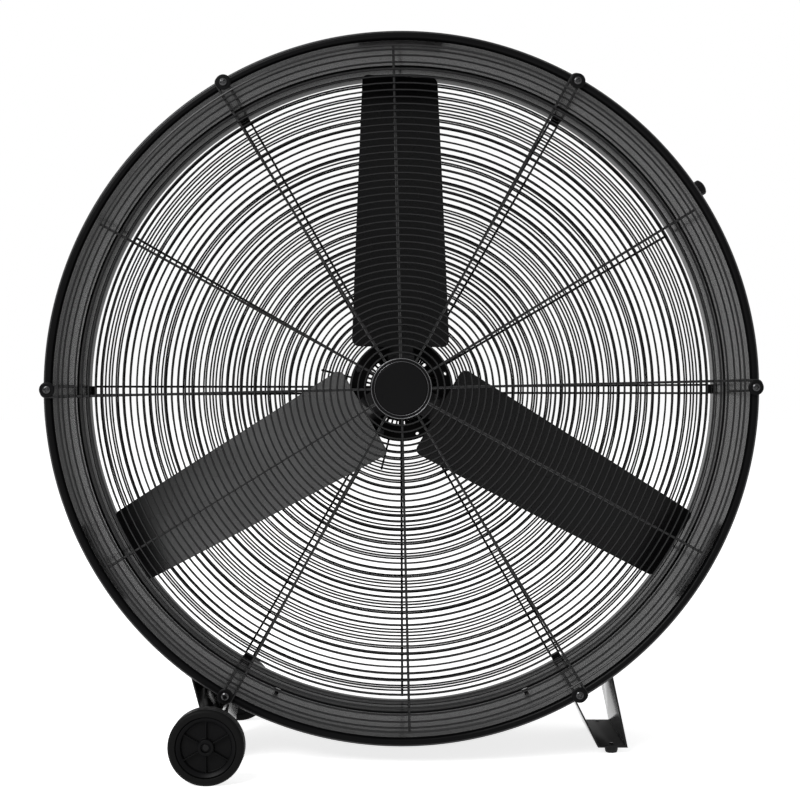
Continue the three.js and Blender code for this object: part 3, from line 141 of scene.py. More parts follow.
def revolved(profile: np.ndarray, segments: int, loop: bool = False) -> Skin:
    """Turns a profile about the Y axis: a point (r, y) becomes (r cos a, y, r sin a).

    Args:
        profile: Points as (radius, along), in order. An end on the axis closes in a pole.
        segments: Steps in a full turn.
        loop: Whether the profile's last point is joined to its first.

    Returns:
        The closed skin, facing out.
    """
    angle = TURN * np.arange(segments) / segments
    on_axis = profile[:, 0] < TINY
    ring = profile[~on_axis]
    points = np.stack(
        [
            ring[:, :1] * np.cos(angle),
            np.repeat(ring[:, 1:], segments, axis=1),
            ring[:, :1] * np.sin(angle),
        ],
        axis=-1,
    ).reshape(-1, 3)
    rows = np.arange(len(ring) * segments).reshape(len(ring), segments)
    quads = cell_quads(np.concatenate([rows, rows[:1]]) if loop else rows, wrap=True)
    tris = [NO_TRIS]
    poles = [np.zeros((0, 3))]
    for end, row, order in ((0, rows[0], 1), (-1, rows[-1], -1)):
        if on_axis[end]:
            centre = np.full(segments, len(points) + sum(len(pole) for pole in poles))
            poles.append(np.array([[0.0, profile[end, 1], 0.0]]))
            tris.append(np.stack([centre, np.roll(row, -1), row][::order], axis=-1))
    return Skin(np.concatenate([points, *poles]), quads, np.concatenate(tris)).outward()


def swept(path: np.ndarray, section: np.ndarray, across: np.ndarray, lift: np.ndarray) -> Skin:
    """Carries a section along a path: a point is path + u * across + v * lift, capped at both ends.

    Args:
        path: Stations as (x, y, z).
        section: Points (u, v) of a convex outline, in order.
        across: The direction of u at each station.
        lift: The direction of v at each station.

    Returns:
        The closed skin, facing out.
    """
    count = len(section)
    points = (
        path[:, None]
        + section[None, :, :1] * across[:, None]
        + section[None, :, 1:] * lift[:, None]
    ).reshape(-1, 3)
    rows = np.arange(len(path) * count).reshape(len(path), count)
    tris = []
    for row, tip, order in ((rows[0], len(points), 1), (rows[-1], len(points) + 1, -1)):
        tris.append(np.stack([np.full(count, tip), np.roll(row, -1), row][::order], axis=-1))
    caps = np.stack([path[0], path[-1]])
    return Skin(np.concatenate([points, caps]), cell_quads(rows, wrap=True), np.concatenate(tris)).outward()


def circle(radius: float, sides: int) -> np.ndarray:
    """Points (u, v) on a circle, counted counter-clockwise."""
    angle = TURN * np.arange(sides) / sides
    return radius * np.stack([np.cos(angle), np.sin(angle)], axis=-1)


def wire(path: np.ndarray, height: float, radius: float, sides: int = 8) -> Skin:
    """Round wire whose middle line lies in one plane across the fan axis.

    Args:
        path: Corners as (x, z).
        height: Where that plane lies along Y.
        radius: The wire's radius.
        sides: Sides of its section.

    Returns:
        The closed skin.
    """
    flat = np.stack([path[:, 0], np.full(len(path), height), path[:, 1]], axis=-1)
    step = np.diff(flat, axis=0)
    step /= np.linalg.norm(step, axis=1, keepdims=True)
    along = np.concatenate([step[:1], step[:-1] + step[1:], step[-1:]])
    along /= np.linalg.norm(along, axis=1, keepdims=True)
    lift = np.tile(ALONG_Y, (len(path), 1))
    return swept(flat, circle(radius, sides), np.cross(along, lift), lift)


def wire_ring(ring_radius: float, height: float, radius: float, segments: int, sides: int) -> Skin:
    """A closed ring of round wire about the Y axis, a circle turned about it."""
    return revolved(circle(radius, sides) + [ring_radius, height], segments, loop=True)


def rounded(line: np.ndarray, radius: float, steps: int = 4, loop: bool = False) -> np.ndarray:
    """Rounds a line's corners: near each, a point runs on the parabola between its two sides.

    Args:
        line: Corners as (u, v).
        radius: How far from the corner the rounding starts, at most SIDE_SHARE of a side.
        steps: Stations on each rounded corner.
        loop: Whether the line closes on itself.

    Returns:
        The new line.
    """
    before, after = np.roll(line, 1, axis=0), np.roll(line, -1, axis=0)
    back, onward = before - line, after - line
    ends = []
    for side in (back, onward):
        length = np.linalg.norm(side, axis=1, keepdims=True)
        ends.append(line + side * np.minimum(radius, SIDE_SHARE * length) / np.maximum(length, TINY))
    start, end = ends
    share = np.linspace(0.0, 1.0, steps)[None, :, None]
    arcs = (
        (1 - share) ** 2 * start[:, None]
        + 2 * share * (1 - share) * line[:, None]
        + share**2 * end[:, None]
    )
    if loop:
        return arcs.reshape(-1, 2)
    return np.concatenate([line[:1], arcs[1:-1].reshape(-1, 2), line[-1:]])


def round_fan_axis(degrees: float, skin: Skin) -> Skin:
    """Turns a skin about Y by an angle from +X towards +Z."""
    return skin.moved(Matrix.Rotation(-math.radians(degrees), 4, "Y"))


def on_fan_axis(skin: Skin) -> Skin:
    """Lifts a skin from the Y axis to the fan axis."""
    return skin.moved(Matrix.Translation((0.0, 0.0, AXIS_HEIGHT)))


# ---- finishes ------------------------------------------------------------------------------------


class Relief(Enum):
    """Kinds of fine relief that a finish can have."""

    ORANGE_PEEL = "soft ripple of a sprayed powder coat"
    FINE_GRAIN = "eroded grain of a moulding tool"
    BRUSHED = "fine lines along one way"
    STACKED = "edges of stacked laminations, across Y"


@dataclass(frozen=True)
class Finish:
    """A surface finish, with its colour, gloss and fine relief.

    The relief is a noise in Object coordinates with grain as its period, more or less detailed and
    stretched as its kind asks. A slow noise varies the colour and the roughness over the piece.
    Under the height dull_below the finish is dull, as dust from the floor lies there.
    """

    name: str
    slot: str
    colour: tuple[float, float, float]
    roughness: float
    metallic: float = 0.0
    specular: float = 0.5
    relief: Relief = Relief.ORANGE_PEEL
    grain: float = 0.0012
    depth: float = 0.00002
    mottle: float = 0.10
    gloss_spread: float = 0.05
    dull_below: float = -1.0

    SLOW_SCALE = 14.0
    SLOW_DETAIL = 2.0
    SLOW_SPAN = (0.3, 0.7)
    DUST_ROUGHNESS = 0.65
    DUST_FADE = 0.001
    DETAIL = {Relief.ORANGE_PEEL: 0.5, Relief.FINE_GRAIN: 4.0, Relief.BRUSHED: 1.0, Relief.STACKED: 1.0}
    STRETCH = {Relief.BRUSHED: (1.0, 0.04, 1.0), Relief.STACKED: (0.02, 1.0, 0.02)}

    def material(self) -> bpy.types.Material:
        """The Blender material of this finish, made once and then shared.

        Returns:
            The material with its node tree.
        """
        known = bpy.data.materials.get(self.name)
        if known is not None:
            return known
        made = bpy.data.materials.new(self.name)
        made.use_nodes = True
        tree = made.node_tree
        shader = tree.nodes["Principled BSDF"]
        shader.inputs["Metallic"].default_value = self.metallic
        shader.inputs["Specular IOR Level"].default_value = self.specular
        place = tree.nodes.new("ShaderNodeTexCoord").outputs["Object"]
        slow = self.noise(tree, place, self.SLOW_SCALE, self.SLOW_DETAIL)
        tree.links.new(self.blended_colour(tree, slow), shader.inputs["Base Color"])
        rough = self.varied_roughness(tree, slow)
        if self.dull_below > 0:
            rough = self.dulled(tree, place, rough)
        tree.links.new(rough, shader.inputs["Roughness"])
        bump = tree.nodes.new("ShaderNodeBump")
        bump.inputs["Distance"].default_value = self.depth
        tree.links.new(self.height(tree, place), bump.inputs["Height"])
        tree.links.new(bump.outputs["Normal"], shader.inputs["Normal"])
        return made

    @staticmethod
    def noise(tree: bpy.types.NodeTree, place: bpy.types.NodeSocket, scale: float,
              detail: float) -> bpy.types.NodeSocket:
        """Adds a noise texture.

        Args:
            tree: The material's node tree.
            place: The coordinates that it reads.
            scale: Features per metre.
            detail: Octaves on top of the first.

        Returns:
            Its value, from 0 to 1.
        """
        node = tree.nodes.new("ShaderNodeTexNoise")
        node.inputs["Scale"].default_value = scale
        node.inputs["Detail"].default_value = detail
        tree.links.new(place, node.inputs["Vector"])
        return node.outputs["Fac"]

    def blended_colour(self, tree: bpy.types.NodeTree, slow: bpy.types.NodeSocket) -> bpy.types.NodeSocket:
        """Mixes a darker and a lighter shade of the colour by the slow noise.

        Args:
            tree: The material's node tree.
            slow: The noise that mixes them.

        Returns:
            The mixed colour.
        """
        node = tree.nodes.new("ShaderNodeMix")
        node.data_type = "RGBA"
        factor, darker, lighter = node.inputs[0], node.inputs[6], node.inputs[7]
        darker.default_value = (*self.mottle_shade(-1), 1.0)
        lighter.default_value = (*self.mottle_shade(1), 1.0)
        tree.links.new(slow, factor)
        return node.outputs[2]

    def mottle_shade(self, side: int) -> tuple[float, float, float]:
        """The colour made darker (-1) or lighter (1) by the mottle."""
        return tuple(min(1.0, part * (1.0 + side * self.mottle)) for part in self.colour)

    def varied_roughness(self, tree: bpy.types.NodeTree, slow: bpy.types.NodeSocket) -> bpy.types.NodeSocket:
        """Spreads the roughness either side of its own value by the slow noise.

        Args:
            tree: The material's node tree.
            slow: The noise that moves it.

        Returns:
            The roughness.
        """
        node = tree.nodes.new("ShaderNodeMapRange")
        node.inputs["From Min"].default_value, node.inputs["From Max"].default_value = self.SLOW_SPAN
        node.inputs["To Min"].default_value = self.roughness - self.gloss_spread
        node.inputs["To Max"].default_value = self.roughness + self.gloss_spread
        tree.links.new(slow, node.inputs["Value"])
        return node.outputs["Result"]

    def dulled(self, tree: bpy.types.NodeTree, place: bpy.types.NodeSocket,
               rough: bpy.types.NodeSocket) -> bpy.types.NodeSocket:
        """Raises the roughness below the height dull_below.

        Args:
            tree: The material's node tree.
            place: The coordinates that it reads.
            rough: The roughness above that height.

        Returns:
            The roughness.
        """
        split = tree.nodes.new("ShaderNodeSeparateXYZ")
        tree.links.new(place, split.inputs["Vector"])
        node = tree.nodes.new("ShaderNodeMapRange")
        node.inputs["From Min"].default_value = self.dull_below
        node.inputs["From Max"].default_value = self.dull_below + self.DUST_FADE
        node.inputs["To Min"].default_value = self.DUST_ROUGHNESS
        tree.links.new(split.outputs["Z"], node.inputs["Value"])
        tree.links.new(rough, node.inputs["To Max"])
        return node.outputs["Result"]

    def height(self, tree: bpy.types.NodeTree, place: bpy.types.NodeSocket) -> bpy.types.NodeSocket:
        """The relief's height over the surface.

        Args:
            tree: The material's node tree.
            place: The coordinates that it reads.

        Returns:
            The height, from 0 to 1.
        """
        if self.relief in self.STRETCH:
            node = tree.nodes.new("ShaderNodeMapping")
            node.inputs["Scale"].default_value = self.STRETCH[self.relief]
            tree.links.new(place, node.inputs["Vector"])
            place = node.outputs["Vector"]
        return self.noise(tree, place, 1.0 / self.grain, self.DETAIL[self.relief])


DRUM_COAT = Finish("drum powder coat", "drum", (0.0060, 0.0060, 0.0062), 0.24, specular=0.0085, grain=0.0030,
                   depth=0.0000015, gloss_spread=0.008)
# The bead wears the drum's own coat: this darker copy is painted shade, with more gloss than the wall.
BEAD_PAINTED_SHADE_COAT = Finish("bead powder coat with painted shade", "drum", (0.0030, 0.0030, 0.0032), 0.24, specular=0.035, grain=0.0030,
                   depth=0.000003, gloss_spread=0.015)
# Painted highlight: glossy metal for a thin ring on the front bead's outer edge, seen as a light line round
# the bead.
PAINTED_BEAD_HIGHLIGHT = Finish("painted bead highlight", "drum", (0.034, 0.034, 0.035), 0.30, metallic=1.0, grain=0.0010,
                   depth=0.000002)
WIRE_COAT = Finish("wire powder coat", "wire", (0.009, 0.009, 0.0093), 0.22, specular=0.19, grain=0.0010,
                   depth=0.000005, gloss_spread=0.02)
# The rear grille wears the front grille's coat: this darker, less glossy copy is painted shade.
REAR_WIRE_SHADED_COAT = Finish("rear wire coat with painted shade", "wire", (0.006, 0.006, 0.0063), 0.40, specular=0.01,
                        grain=0.0010, depth=0.00001)
BADGE_FACE = Finish("badge plastic", "badge", (0.004, 0.004, 0.0042), 0.30, specular=0.035,
                    relief=Relief.FINE_GRAIN, grain=0.0007, depth=0.000005)
# Painted highlight: glossy metal for the thin rings laid on the badge's bevel and groove.
PAINTED_BADGE_HIGHLIGHT = Finish("painted badge highlight", "badge", (0.11, 0.11, 0.113), 0.25, metallic=1.0, relief=Relief.BRUSHED,
                   grain=0.0005, depth=0.000002)
DARK_ZINC = Finish("dark zinc", "steel", (0.018, 0.018, 0.019), 0.30, metallic=1.0, relief=Relief.BRUSHED,
                   grain=0.0004, depth=0.000006)
GLOSSY_ZINC = Finish("glossy zinc", "steel", (0.042, 0.042, 0.043), 0.20, metallic=1.0, relief=Relief.BRUSHED,
                     grain=0.0004, depth=0.000002)
BLACK_OXIDE = Finish("black oxide", "steel", (0.004, 0.004, 0.0042), 0.40, specular=0.10,
                     relief=Relief.BRUSHED, grain=0.0005, depth=0.000004)
BLACK_PLASTIC = Finish("black plastic", "black_plastic", (0.003, 0.003, 0.0032), 0.36, specular=0.04,
                       relief=Relief.FINE_GRAIN, grain=0.0006, depth=0.000012)
BLADE_PAINT = Finish("blade paint", "blade", (0.0030, 0.0030, 0.0032), 0.27, specular=0.12, grain=0.0020,
                     depth=0.000003, gloss_spread=0.03)
MOTOR_PAINT = Finish("motor paint", "motor_black", (0.0015, 0.0015, 0.0016), 0.50, specular=0.03,
                     grain=0.0010)
LAMINATIONS = Finish("laminations", "core_steel", (0.03, 0.0295, 0.029), 0.45, metallic=0.9,
                     relief=Relief.STACKED, grain=0.0006, depth=0.00005)
BRIGHT_STEEL = Finish("bright steel", "bright_steel", (0.45, 0.45, 0.46), 0.25, metallic=1.0,
                      relief=Relief.BRUSHED, grain=0.0004, depth=0.000004, mottle=0.04)
# The steel cap is coloured near black as painted shade, standing in for the shade inside the wheel's socket.
CLIP_PAINTED_SHADE = Finish("clip steel with painted shade", "bright_steel", (0.006, 0.006, 0.0063), 0.35, metallic=1.0,
                    relief=Relief.BRUSHED, grain=0.0004, depth=0.000004)
BOX_COAT = Finish("box powder coat", "box", (0.006, 0.006, 0.0063), 0.34, specular=0.10, grain=0.0020)
STRAP_COAT = Finish("strap powder coat", "strap", (0.012, 0.012, 0.0125), 0.14, specular=0.12, grain=0.0018,
                    depth=0.000003, gloss_spread=0.02, mottle=0.05, dull_below=0.0125)
TYRE_RUBBER = Finish("tyre rubber", "tyre", (0.003, 0.003, 0.003), 0.50, specular=0.05,
                     relief=Relief.FINE_GRAIN, grain=0.0009, depth=0.00002)
FOOT_RUBBER = Finish("foot rubber", "foot_rubber", (0.020, 0.020, 0.020), 0.55, specular=0.15,
                     relief=Relief.FINE_GRAIN, grain=0.0008, depth=0.00002)


# ---- making pieces -------------------------------------------------------------------------------


def mesh_of(name: str, skin: Skin) -> bpy.types.Mesh:
    """Writes a skin's arrays into a new mesh.

    Args:
        name: The mesh's name.
        skin: The points and faces.

    Returns:
        The mesh, smooth but for edges sharper than SHARP.
    """
    mesh = bpy.data.meshes.new(name)
    mesh.vertices.add(len(skin.points))
    mesh.vertices.foreach_set("co", skin.points.astype(np.float32).ravel())
    corners = np.concatenate([skin.quads.ravel(), skin.tris.ravel()]).astype(np.int32)
    mesh.loops.add(len(corners))
    mesh.loops.foreach_set("vertex_index", corners)
    starts = np.concatenate([
        4 * np.arange(len(skin.quads)),
        4 * len(skin.quads) + 3 * np.arange(len(skin.tris)),
    ]).astype(np.int32)
    mesh.polygons.add(len(starts))
    mesh.polygons.foreach_set("loop_start", starts)
    mesh.update(calc_edges=True)
    mesh.validate()
    mesh.shade_smooth()
    mesh.set_sharp_from_angle(angle=SHARP)
    return mesh


def dressed(piece: bpy.types.Object, finish: Finish, body: str, nodes: tuple[str, ...]) -> bpy.types.Object:
    """Gives a piece its finish, its body and the nodes that it stands for.

    Args:
        piece: The object, at the origin.
        finish: Its finish.
        body: The body that it rides.
        nodes: The solids that it replaces.

    Returns:
        The piece.
    """
    piece.data.materials.clear()
    piece.data.materials.append(finish.material())
    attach(piece, body)
    if nodes:
        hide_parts(*nodes)
    LOG.info("%s: %d faces, on %s", piece.name, len(piece.data.polygons), body)
    return piece


def made(name: str, skin: Skin, finish: Finish, body: str, *nodes: str) -> bpy.types.Object:
    """Makes one piece of a skin.

    Args:
        name: The piece's name.
        skin: Its points and faces, in place.
        finish: Its finish.
        body: The body that it rides.
        nodes: The solids that it replaces.

    Returns:
        The piece.
    """
    piece = bpy.data.objects.new(name, mesh_of(name, skin))
    bpy.context.scene.collection.objects.link(piece)
    return dressed(piece, finish, body, nodes)


def softened(node: str, width: float, finish: Finish, body: str) -> bpy.types.Object:
    """Makes a copy of a solid with its sharp edges rounded, which stands for that solid.

    Args:
        node: The solid's name.
        width: How wide the rounding is.
        finish: The copy's finish.
        body: The body that it rides.

    Returns:
        The copy.
    """
    shape = bmesh.new()
    shape.from_mesh(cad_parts[node].data)
    bmesh.ops.remove_doubles(shape, verts=shape.verts, dist=SAME_POINT)
    bmesh.ops.dissolve_limit(shape, angle_limit=FLAT_ANGLE, verts=shape.verts, edges=shape.edges)
    mesh = bpy.data.meshes.new(f"{node}_shape")
    shape.to_mesh(mesh)
    shape.free()
    mesh.shade_smooth()
    mesh.set_sharp_from_angle(angle=SHARP)
    piece = bpy.data.objects.new(f"{node}_shape", mesh)
    bpy.context.scene.collection.objects.link(piece)
    edge = piece.modifiers.new("edge", "BEVEL")
    edge.width = width
    edge.segments = 2
    edge.limit_method = "ANGLE"
    edge.angle_limit = SHARP
    return dressed(piece, finish, body, (node,))


def refinished(finish: Finish, *nodes: str) -> None:
    """Gives solids that stay as they are their finish.

    Args:
        finish: The finish.
        nodes: The solids' names.
    """
    for node in nodes:
        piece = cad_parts[node]
        for place in piece.material_slots:
            place.material = finish.material()
        if not piece.material_slots:
            piece.data.materials.append(finish.material())
        LOG.info("%s: refinished as %s", node, finish.name)


# ---- drum ----------------------------------------------------------------------------------------


@dataclass(frozen=True)
class DrumShell:
    """The rolled sheet drum, with a bead at each end, a square swage and a shallow crease.

    A thin ring of glossy metal on the front bead's outer edge is a painted highlight, a light line round the
    bead.
    """

    bore: float = 0.478
    sheet: float = 0.0015
    front: float = -0.120
    depth: float = 0.320
    bead: float = 0.0066
    swage: tuple[float, float, float] = (0.0742, 0.017, 0.005)
    swage_run: float = 0.0008
    crease: tuple[float, float, float] = (0.141, 0.008, 0.002)
    # The painted highlight line on the front bead: its wire radius, ring radius, place along the axis and
    # sides.
    bead_highlight: float = 0.0010
    bead_highlight_radius: float = 0.4884
    bead_highlight_along: float = -0.1180
    bead_highlight_sides: int = 12
    fold_radius: float = 0.0008
    plain_end: float = 0.02
    lap: float = 0.0002
    segments: int = 320
    bead_sides: int = 32
    bead_steps: int = 26

    def rear_bead(self) -> np.ndarray:
        """Points on the circle of the rear bead, from the bore round its end to the drum's skin.

        Returns:
            The bead as (radius, along).
        """
        closing = math.pi - math.acos((self.bead - self.sheet) / self.bead)
        angle = np.linspace(math.pi, -closing, self.bead_steps)
        return np.stack([
            self.bore + self.bead + self.bead * np.cos(angle),
            self.front + self.depth - self.bead + self.bead * np.sin(angle),
        ], axis=-1)

    def wall_line(self, radius: float) -> np.ndarray:
        """The wall between the beads at one radius, with softly rounded folds.

        Args:
            radius: The bore's or the skin's radius.

        Returns:
            The line as (radius, along), from the front to the rear.
        """
        middle, width, height = self.swage
        fold, fold_width, fold_height = self.crease
        line = np.array([
            [radius, self.front + self.plain_end],
            [radius, middle - width / 2],
            [radius + height, middle - width / 2 + self.swage_run],
            [radius + height, middle + width / 2 - self.swage_run],
            [radius, middle + width / 2],
            [radius, fold - fold_width / 2],
            [radius + fold_height, fold],
            [radius, fold + fold_width / 2],
            [radius, self.front + self.depth - self.plain_end],
        ])
        return rounded(line, self.fold_radius)

    def build(self) -> None:
        """Builds the drum's sheet as one closed turn of its profile, and the front bead over its end."""
        inside, outside = self.wall_line(self.bore), self.wall_line(self.bore + self.sheet)[::-1]
        in_bead = self.front + self.bead
        profile = np.concatenate([
            [[self.bore + self.lap, in_bead]],
            inside,
            self.rear_bead(),
            outside,
            [[self.bore + self.sheet, in_bead]],
        ])
        sheet = on_fan_axis(revolved(profile, self.segments, loop=True))
        made("drum_sheet", sheet, DRUM_COAT, "root", "drum_shell")
        # The bead's coat is a darker copy of the drum's coat: painted shade.
        bead = wire_ring(self.bore + self.bead, in_bead, self.bead, self.segments, self.bead_sides)
        made("drum_front_bead", on_fan_axis(bead), BEAD_PAINTED_SHADE_COAT, "root")
        # A thin glossy ring on the bead's outer edge: a painted highlight line, not a part of the drum.
        bead_highlight = wire_ring(self.bead_highlight_radius, self.bead_highlight_along, self.bead_highlight, self.segments, self.bead_highlight_sides)
        made("drum_front_painted_highlight", on_fan_axis(bead_highlight), PAINTED_BEAD_HIGHLIGHT, "root")


# ---- grilles -------------------------------------------------------------------------------------


RING_STEPS = (144, 6)
OUTER_RING_STEPS = (180, 8)
SPOKE_SIDES = 10


@dataclass(frozen=True)
class FrontGrille:
    """Rings of thin wire in front of twelve spokes, six of which hook round the grille screws."""

    first_ring: float = 0.04996
    pitch: float = 0.009438
    rings: int = 45
    last_ring: float = 0.4638
    outer_ring: float = 0.4697
    ring_wire: float = 0.00128
    outer_wire: float = 0.0015
    spoke_wire: float = 0.00175
    ring_plane: float = -0.1248
    spoke_plane: float = -0.12205
    inner_end: float = 0.016
    turn: float = 1.37
    hook_width: float = 0.0142
    screw_circle: float = 0.486
    hook_return: float = 0.447
    spoke_lap: float = 0.002
    hook_steps: int = 17

    def ring_skins(self) -> list[Skin]:
        """The rings, each a circle of wire turned about the fan axis.

        Returns:
            One skin for each ring, from the inside out.
        """
        radii = self.first_ring + self.pitch * np.arange(self.rings)
        radii[-1] = self.last_ring
        rings = [wire_ring(radius, self.ring_plane, self.ring_wire, *RING_STEPS) for radius in radii]
        return [*rings, wire_ring(self.outer_ring, self.ring_plane, self.outer_wire, *OUTER_RING_STEPS)]

    def hook(self) -> Skin:
        """One hooked spoke along +X: out, half round its screw, and a short way back.

        Returns:
            The spoke's skin.
        """
        bend = self.hook_width / 2
        angle = np.linspace(math.pi / 2, -math.pi / 2, self.hook_steps)
        half_turn = np.stack([self.screw_circle + bend * np.cos(angle), bend * np.sin(angle) - bend], axis=-1)
        path = np.concatenate([[[self.inner_end, 0.0]], half_turn, [[self.hook_return, -self.hook_width]]])
        return wire(path, self.spoke_plane, self.spoke_wire, SPOKE_SIDES)

    def build(self) -> None:
        """Builds rings and spokes as one welded grille."""
        path = np.array([[self.inner_end, 0.0], [self.outer_ring + self.spoke_lap, 0.0]])
        straight = wire(path, self.spoke_plane, self.spoke_wire, SPOKE_SIDES)
        hooks = [round_fan_axis(SIXTH * i + self.turn, self.hook()) for i in range(6)]
        straights = [round_fan_axis(SIXTH * (i + 0.5) + self.turn, straight) for i in range(6)]
        skin = on_fan_axis(joined([*self.ring_skins(), *hooks, *straights]))
        made("front_guard", skin, WIRE_COAT, "root", "front_grille")


@dataclass(frozen=True)
class RearGrille:
    """Rings behind six single spokes and six hairpins, with a tab across each hairpin."""

    inner_ring: float = 0.047
    first_ring: float = 0.0858
    zones: tuple[tuple[int, float], ...] = (
        (10, 0.00950), (12, 0.00722), (4, 0.00933), (3, 0.00756),
        (4, 0.00883), (1, 0.0071), (9, 0.0096), (2, 0.00733),
    )
    ring_wire: float = 0.00134
    outer_wire: float = 0.0015
    spoke_wire: float = 0.00175
    ring_plane: float = 0.1866
    spoke_plane: float = 0.18405
    inner_end: float = 0.0435
    outer_end: float = 0.472
    inner_width: float = 0.0095
    outer_width: float = 0.0128
    end_corner: float = 0.002
    turn: float = 0.17
    wall: float = 0.4777
    tab: tuple[float, float, float] = (0.0085, 0.005, 0.0145)
    tab_corner: float = 0.0008
    inner_segments: int = 72

    def ring_radii(self) -> np.ndarray:
        """Radii of the rings, which run in zones of even pitch."""
        steps = np.concatenate([np.full(count, pitch) for count, pitch in self.zones])
        return self.first_ring + np.concatenate([[0.0], np.cumsum(steps)])

    def hairpin(self) -> Skin:
        """Two legs along +X joined by a short end across them, widening outwards.

        Returns:
            The hairpin's skin.
        """
        half, cut = self.outer_width / 2, self.end_corner
        leg = np.array([
            [self.inner_end, self.inner_width / 2],
            [self.outer_end - cut, half],
            [self.outer_end, half - cut],
        ])
        path = np.concatenate([leg, leg[::-1] * [1.0, -1.0]])
        return wire(path, self.spoke_plane, self.spoke_wire, SPOKE_SIDES)

    def tab_skin(self) -> Skin:
        """A small rounded plate that reaches from the hairpin's end to the drum's wall.

        Returns:
            The plate's skin, on +X.
        """
        reach, thickness, width = self.tab
        middle = self.wall - reach / 2
        stations = np.array([[middle, self.spoke_plane, -width / 2], [middle, self.spoke_plane, width / 2]])
        across = np.tile([1.0, 0.0, 0.0], (2, 1))
        lift = np.tile(ALONG_Y, (2, 1))
        corners = np.array([[-1, -1], [1, -1], [1, 1], [-1, 1]]) * [reach / 2, thickness / 2]
        return swept(stations, rounded(corners, self.tab_corner, loop=True), across, lift)

    def build(self) -> None:
        """Builds rings, spokes and tabs as one welded grille."""
        radii = self.ring_radii()
        rings = [wire_ring(radius, self.ring_plane, self.ring_wire, *RING_STEPS) for radius in radii[:-1]]
        rings.append(wire_ring(radii[-1], self.ring_plane, self.outer_wire, *OUTER_RING_STEPS))
        inner = self.inner_segments, RING_STEPS[1]
        rings.append(wire_ring(self.inner_ring, self.ring_plane, self.ring_wire, *inner))
        path = np.array([[self.inner_end, 0.0], [self.outer_end, 0.0]])
        straight = wire(path, self.spoke_plane, self.spoke_wire, SPOKE_SIDES)
        spokes = [round_fan_axis(SIXTH * (i + 0.5) + self.turn, straight) for i in range(6)]
        hairpins = [round_fan_axis(SIXTH * i + self.turn, self.hairpin()) for i in range(6)]
        tabs = [round_fan_axis(SIXTH * i + self.turn, self.tab_skin()) for i in range(6)]
        skin = on_fan_axis(joined([*rings, *spokes, *hairpins, *tabs]))
        # The rear grille's darker copy of the wire coat is painted shade.
        made("rear_guard", skin, REAR_WIRE_SHADED_COAT, "root", "rear_grille")


@dataclass(frozen=True)
class Badge:
    """The plain round badge in front of the hub, its clamp disc behind the spokes.

    The bevel is (in radius, along), the groove's walls lie so far inside its lip, and a line on the
    badge is (ring radius, depth under the face, wire radius): a glossy metal ring, a painted highlight.
    """

    radius: float = 0.0416
    back: float = -0.1241
    face: float = -0.1301
    bevel: tuple[float, float] = (0.0016, 0.0022)
    lip: float = 0.0030
    groove: float = 0.0012
    groove_walls: tuple[float, float, float] = (0.0004, 0.0016, 0.0022)
    disc_edge: float = 0.0005
    disc_middle: float = 0.0002
    rounding: float = 0.0005
    segments: int = 144
    lines: tuple[tuple[float, float, float], ...] = ((0.0409, 0.0005, 0.0006), (0.0368, 0.0004, 0.0003))
    line_sides: int = 12
    clamp_radius: float = 0.032
    clamp: tuple[float, float] = (-0.1200, -0.1176)
    clamp_boss: float = 0.0024
    clamp_rounding: float = 0.0004
    clamp_segments: int = 96

    def face_line(self) -> np.ndarray:
        """The badge's turned profile, from the middle of its back round to the middle of its face.

        Returns:
            The line as (radius, along).
        """
        inwards, along = self.bevel
        shelf = self.radius - inwards - self.lip
        first, second, third = (shelf - wall for wall in self.groove_walls)
        return rounded(np.array([
            [0.0, self.back],
            [self.radius, self.back],
            [self.radius, self.face + along],
            [self.radius - inwards, self.face],
            [shelf, self.face],
            [first, self.face + self.groove],
            [second, self.face + self.groove],
            [third, self.face + self.disc_edge],
            [0.0, self.face + self.disc_middle],
        ]), self.rounding)

    def build(self) -> None:
        """Builds the badge, its two painted highlight lines and the clamp behind it."""
        disc = on_fan_axis(revolved(self.face_line(), self.segments))
        made("badge_disc", disc, BADGE_FACE, "root", "grille_badge")
        # Painted highlights: thin glossy metal rings laid on the badge's real bevel and groove.
        rings = [
            wire_ring(radius, self.face + sunk, thickness, self.segments, self.line_sides)
            for radius, sunk, thickness in self.lines
        ]
        made("badge_painted_highlights", on_fan_axis(joined(rings)), PAINTED_BADGE_HIGHLIGHT, "root")
        low, high = self.clamp
        top = low - self.clamp_boss
        clamp = rounded(np.array([
            [0.0, top], [self.clamp_boss, top], [self.clamp_boss, low], [self.clamp_radius, low],
            [self.clamp_radius, high], [0.0, high],
        ]), self.clamp_rounding)
        back = on_fan_axis(revolved(clamp, self.clamp_segments))
        made("badge_back_disc", back, BLACK_PLASTIC, "root", "badge_clamp")


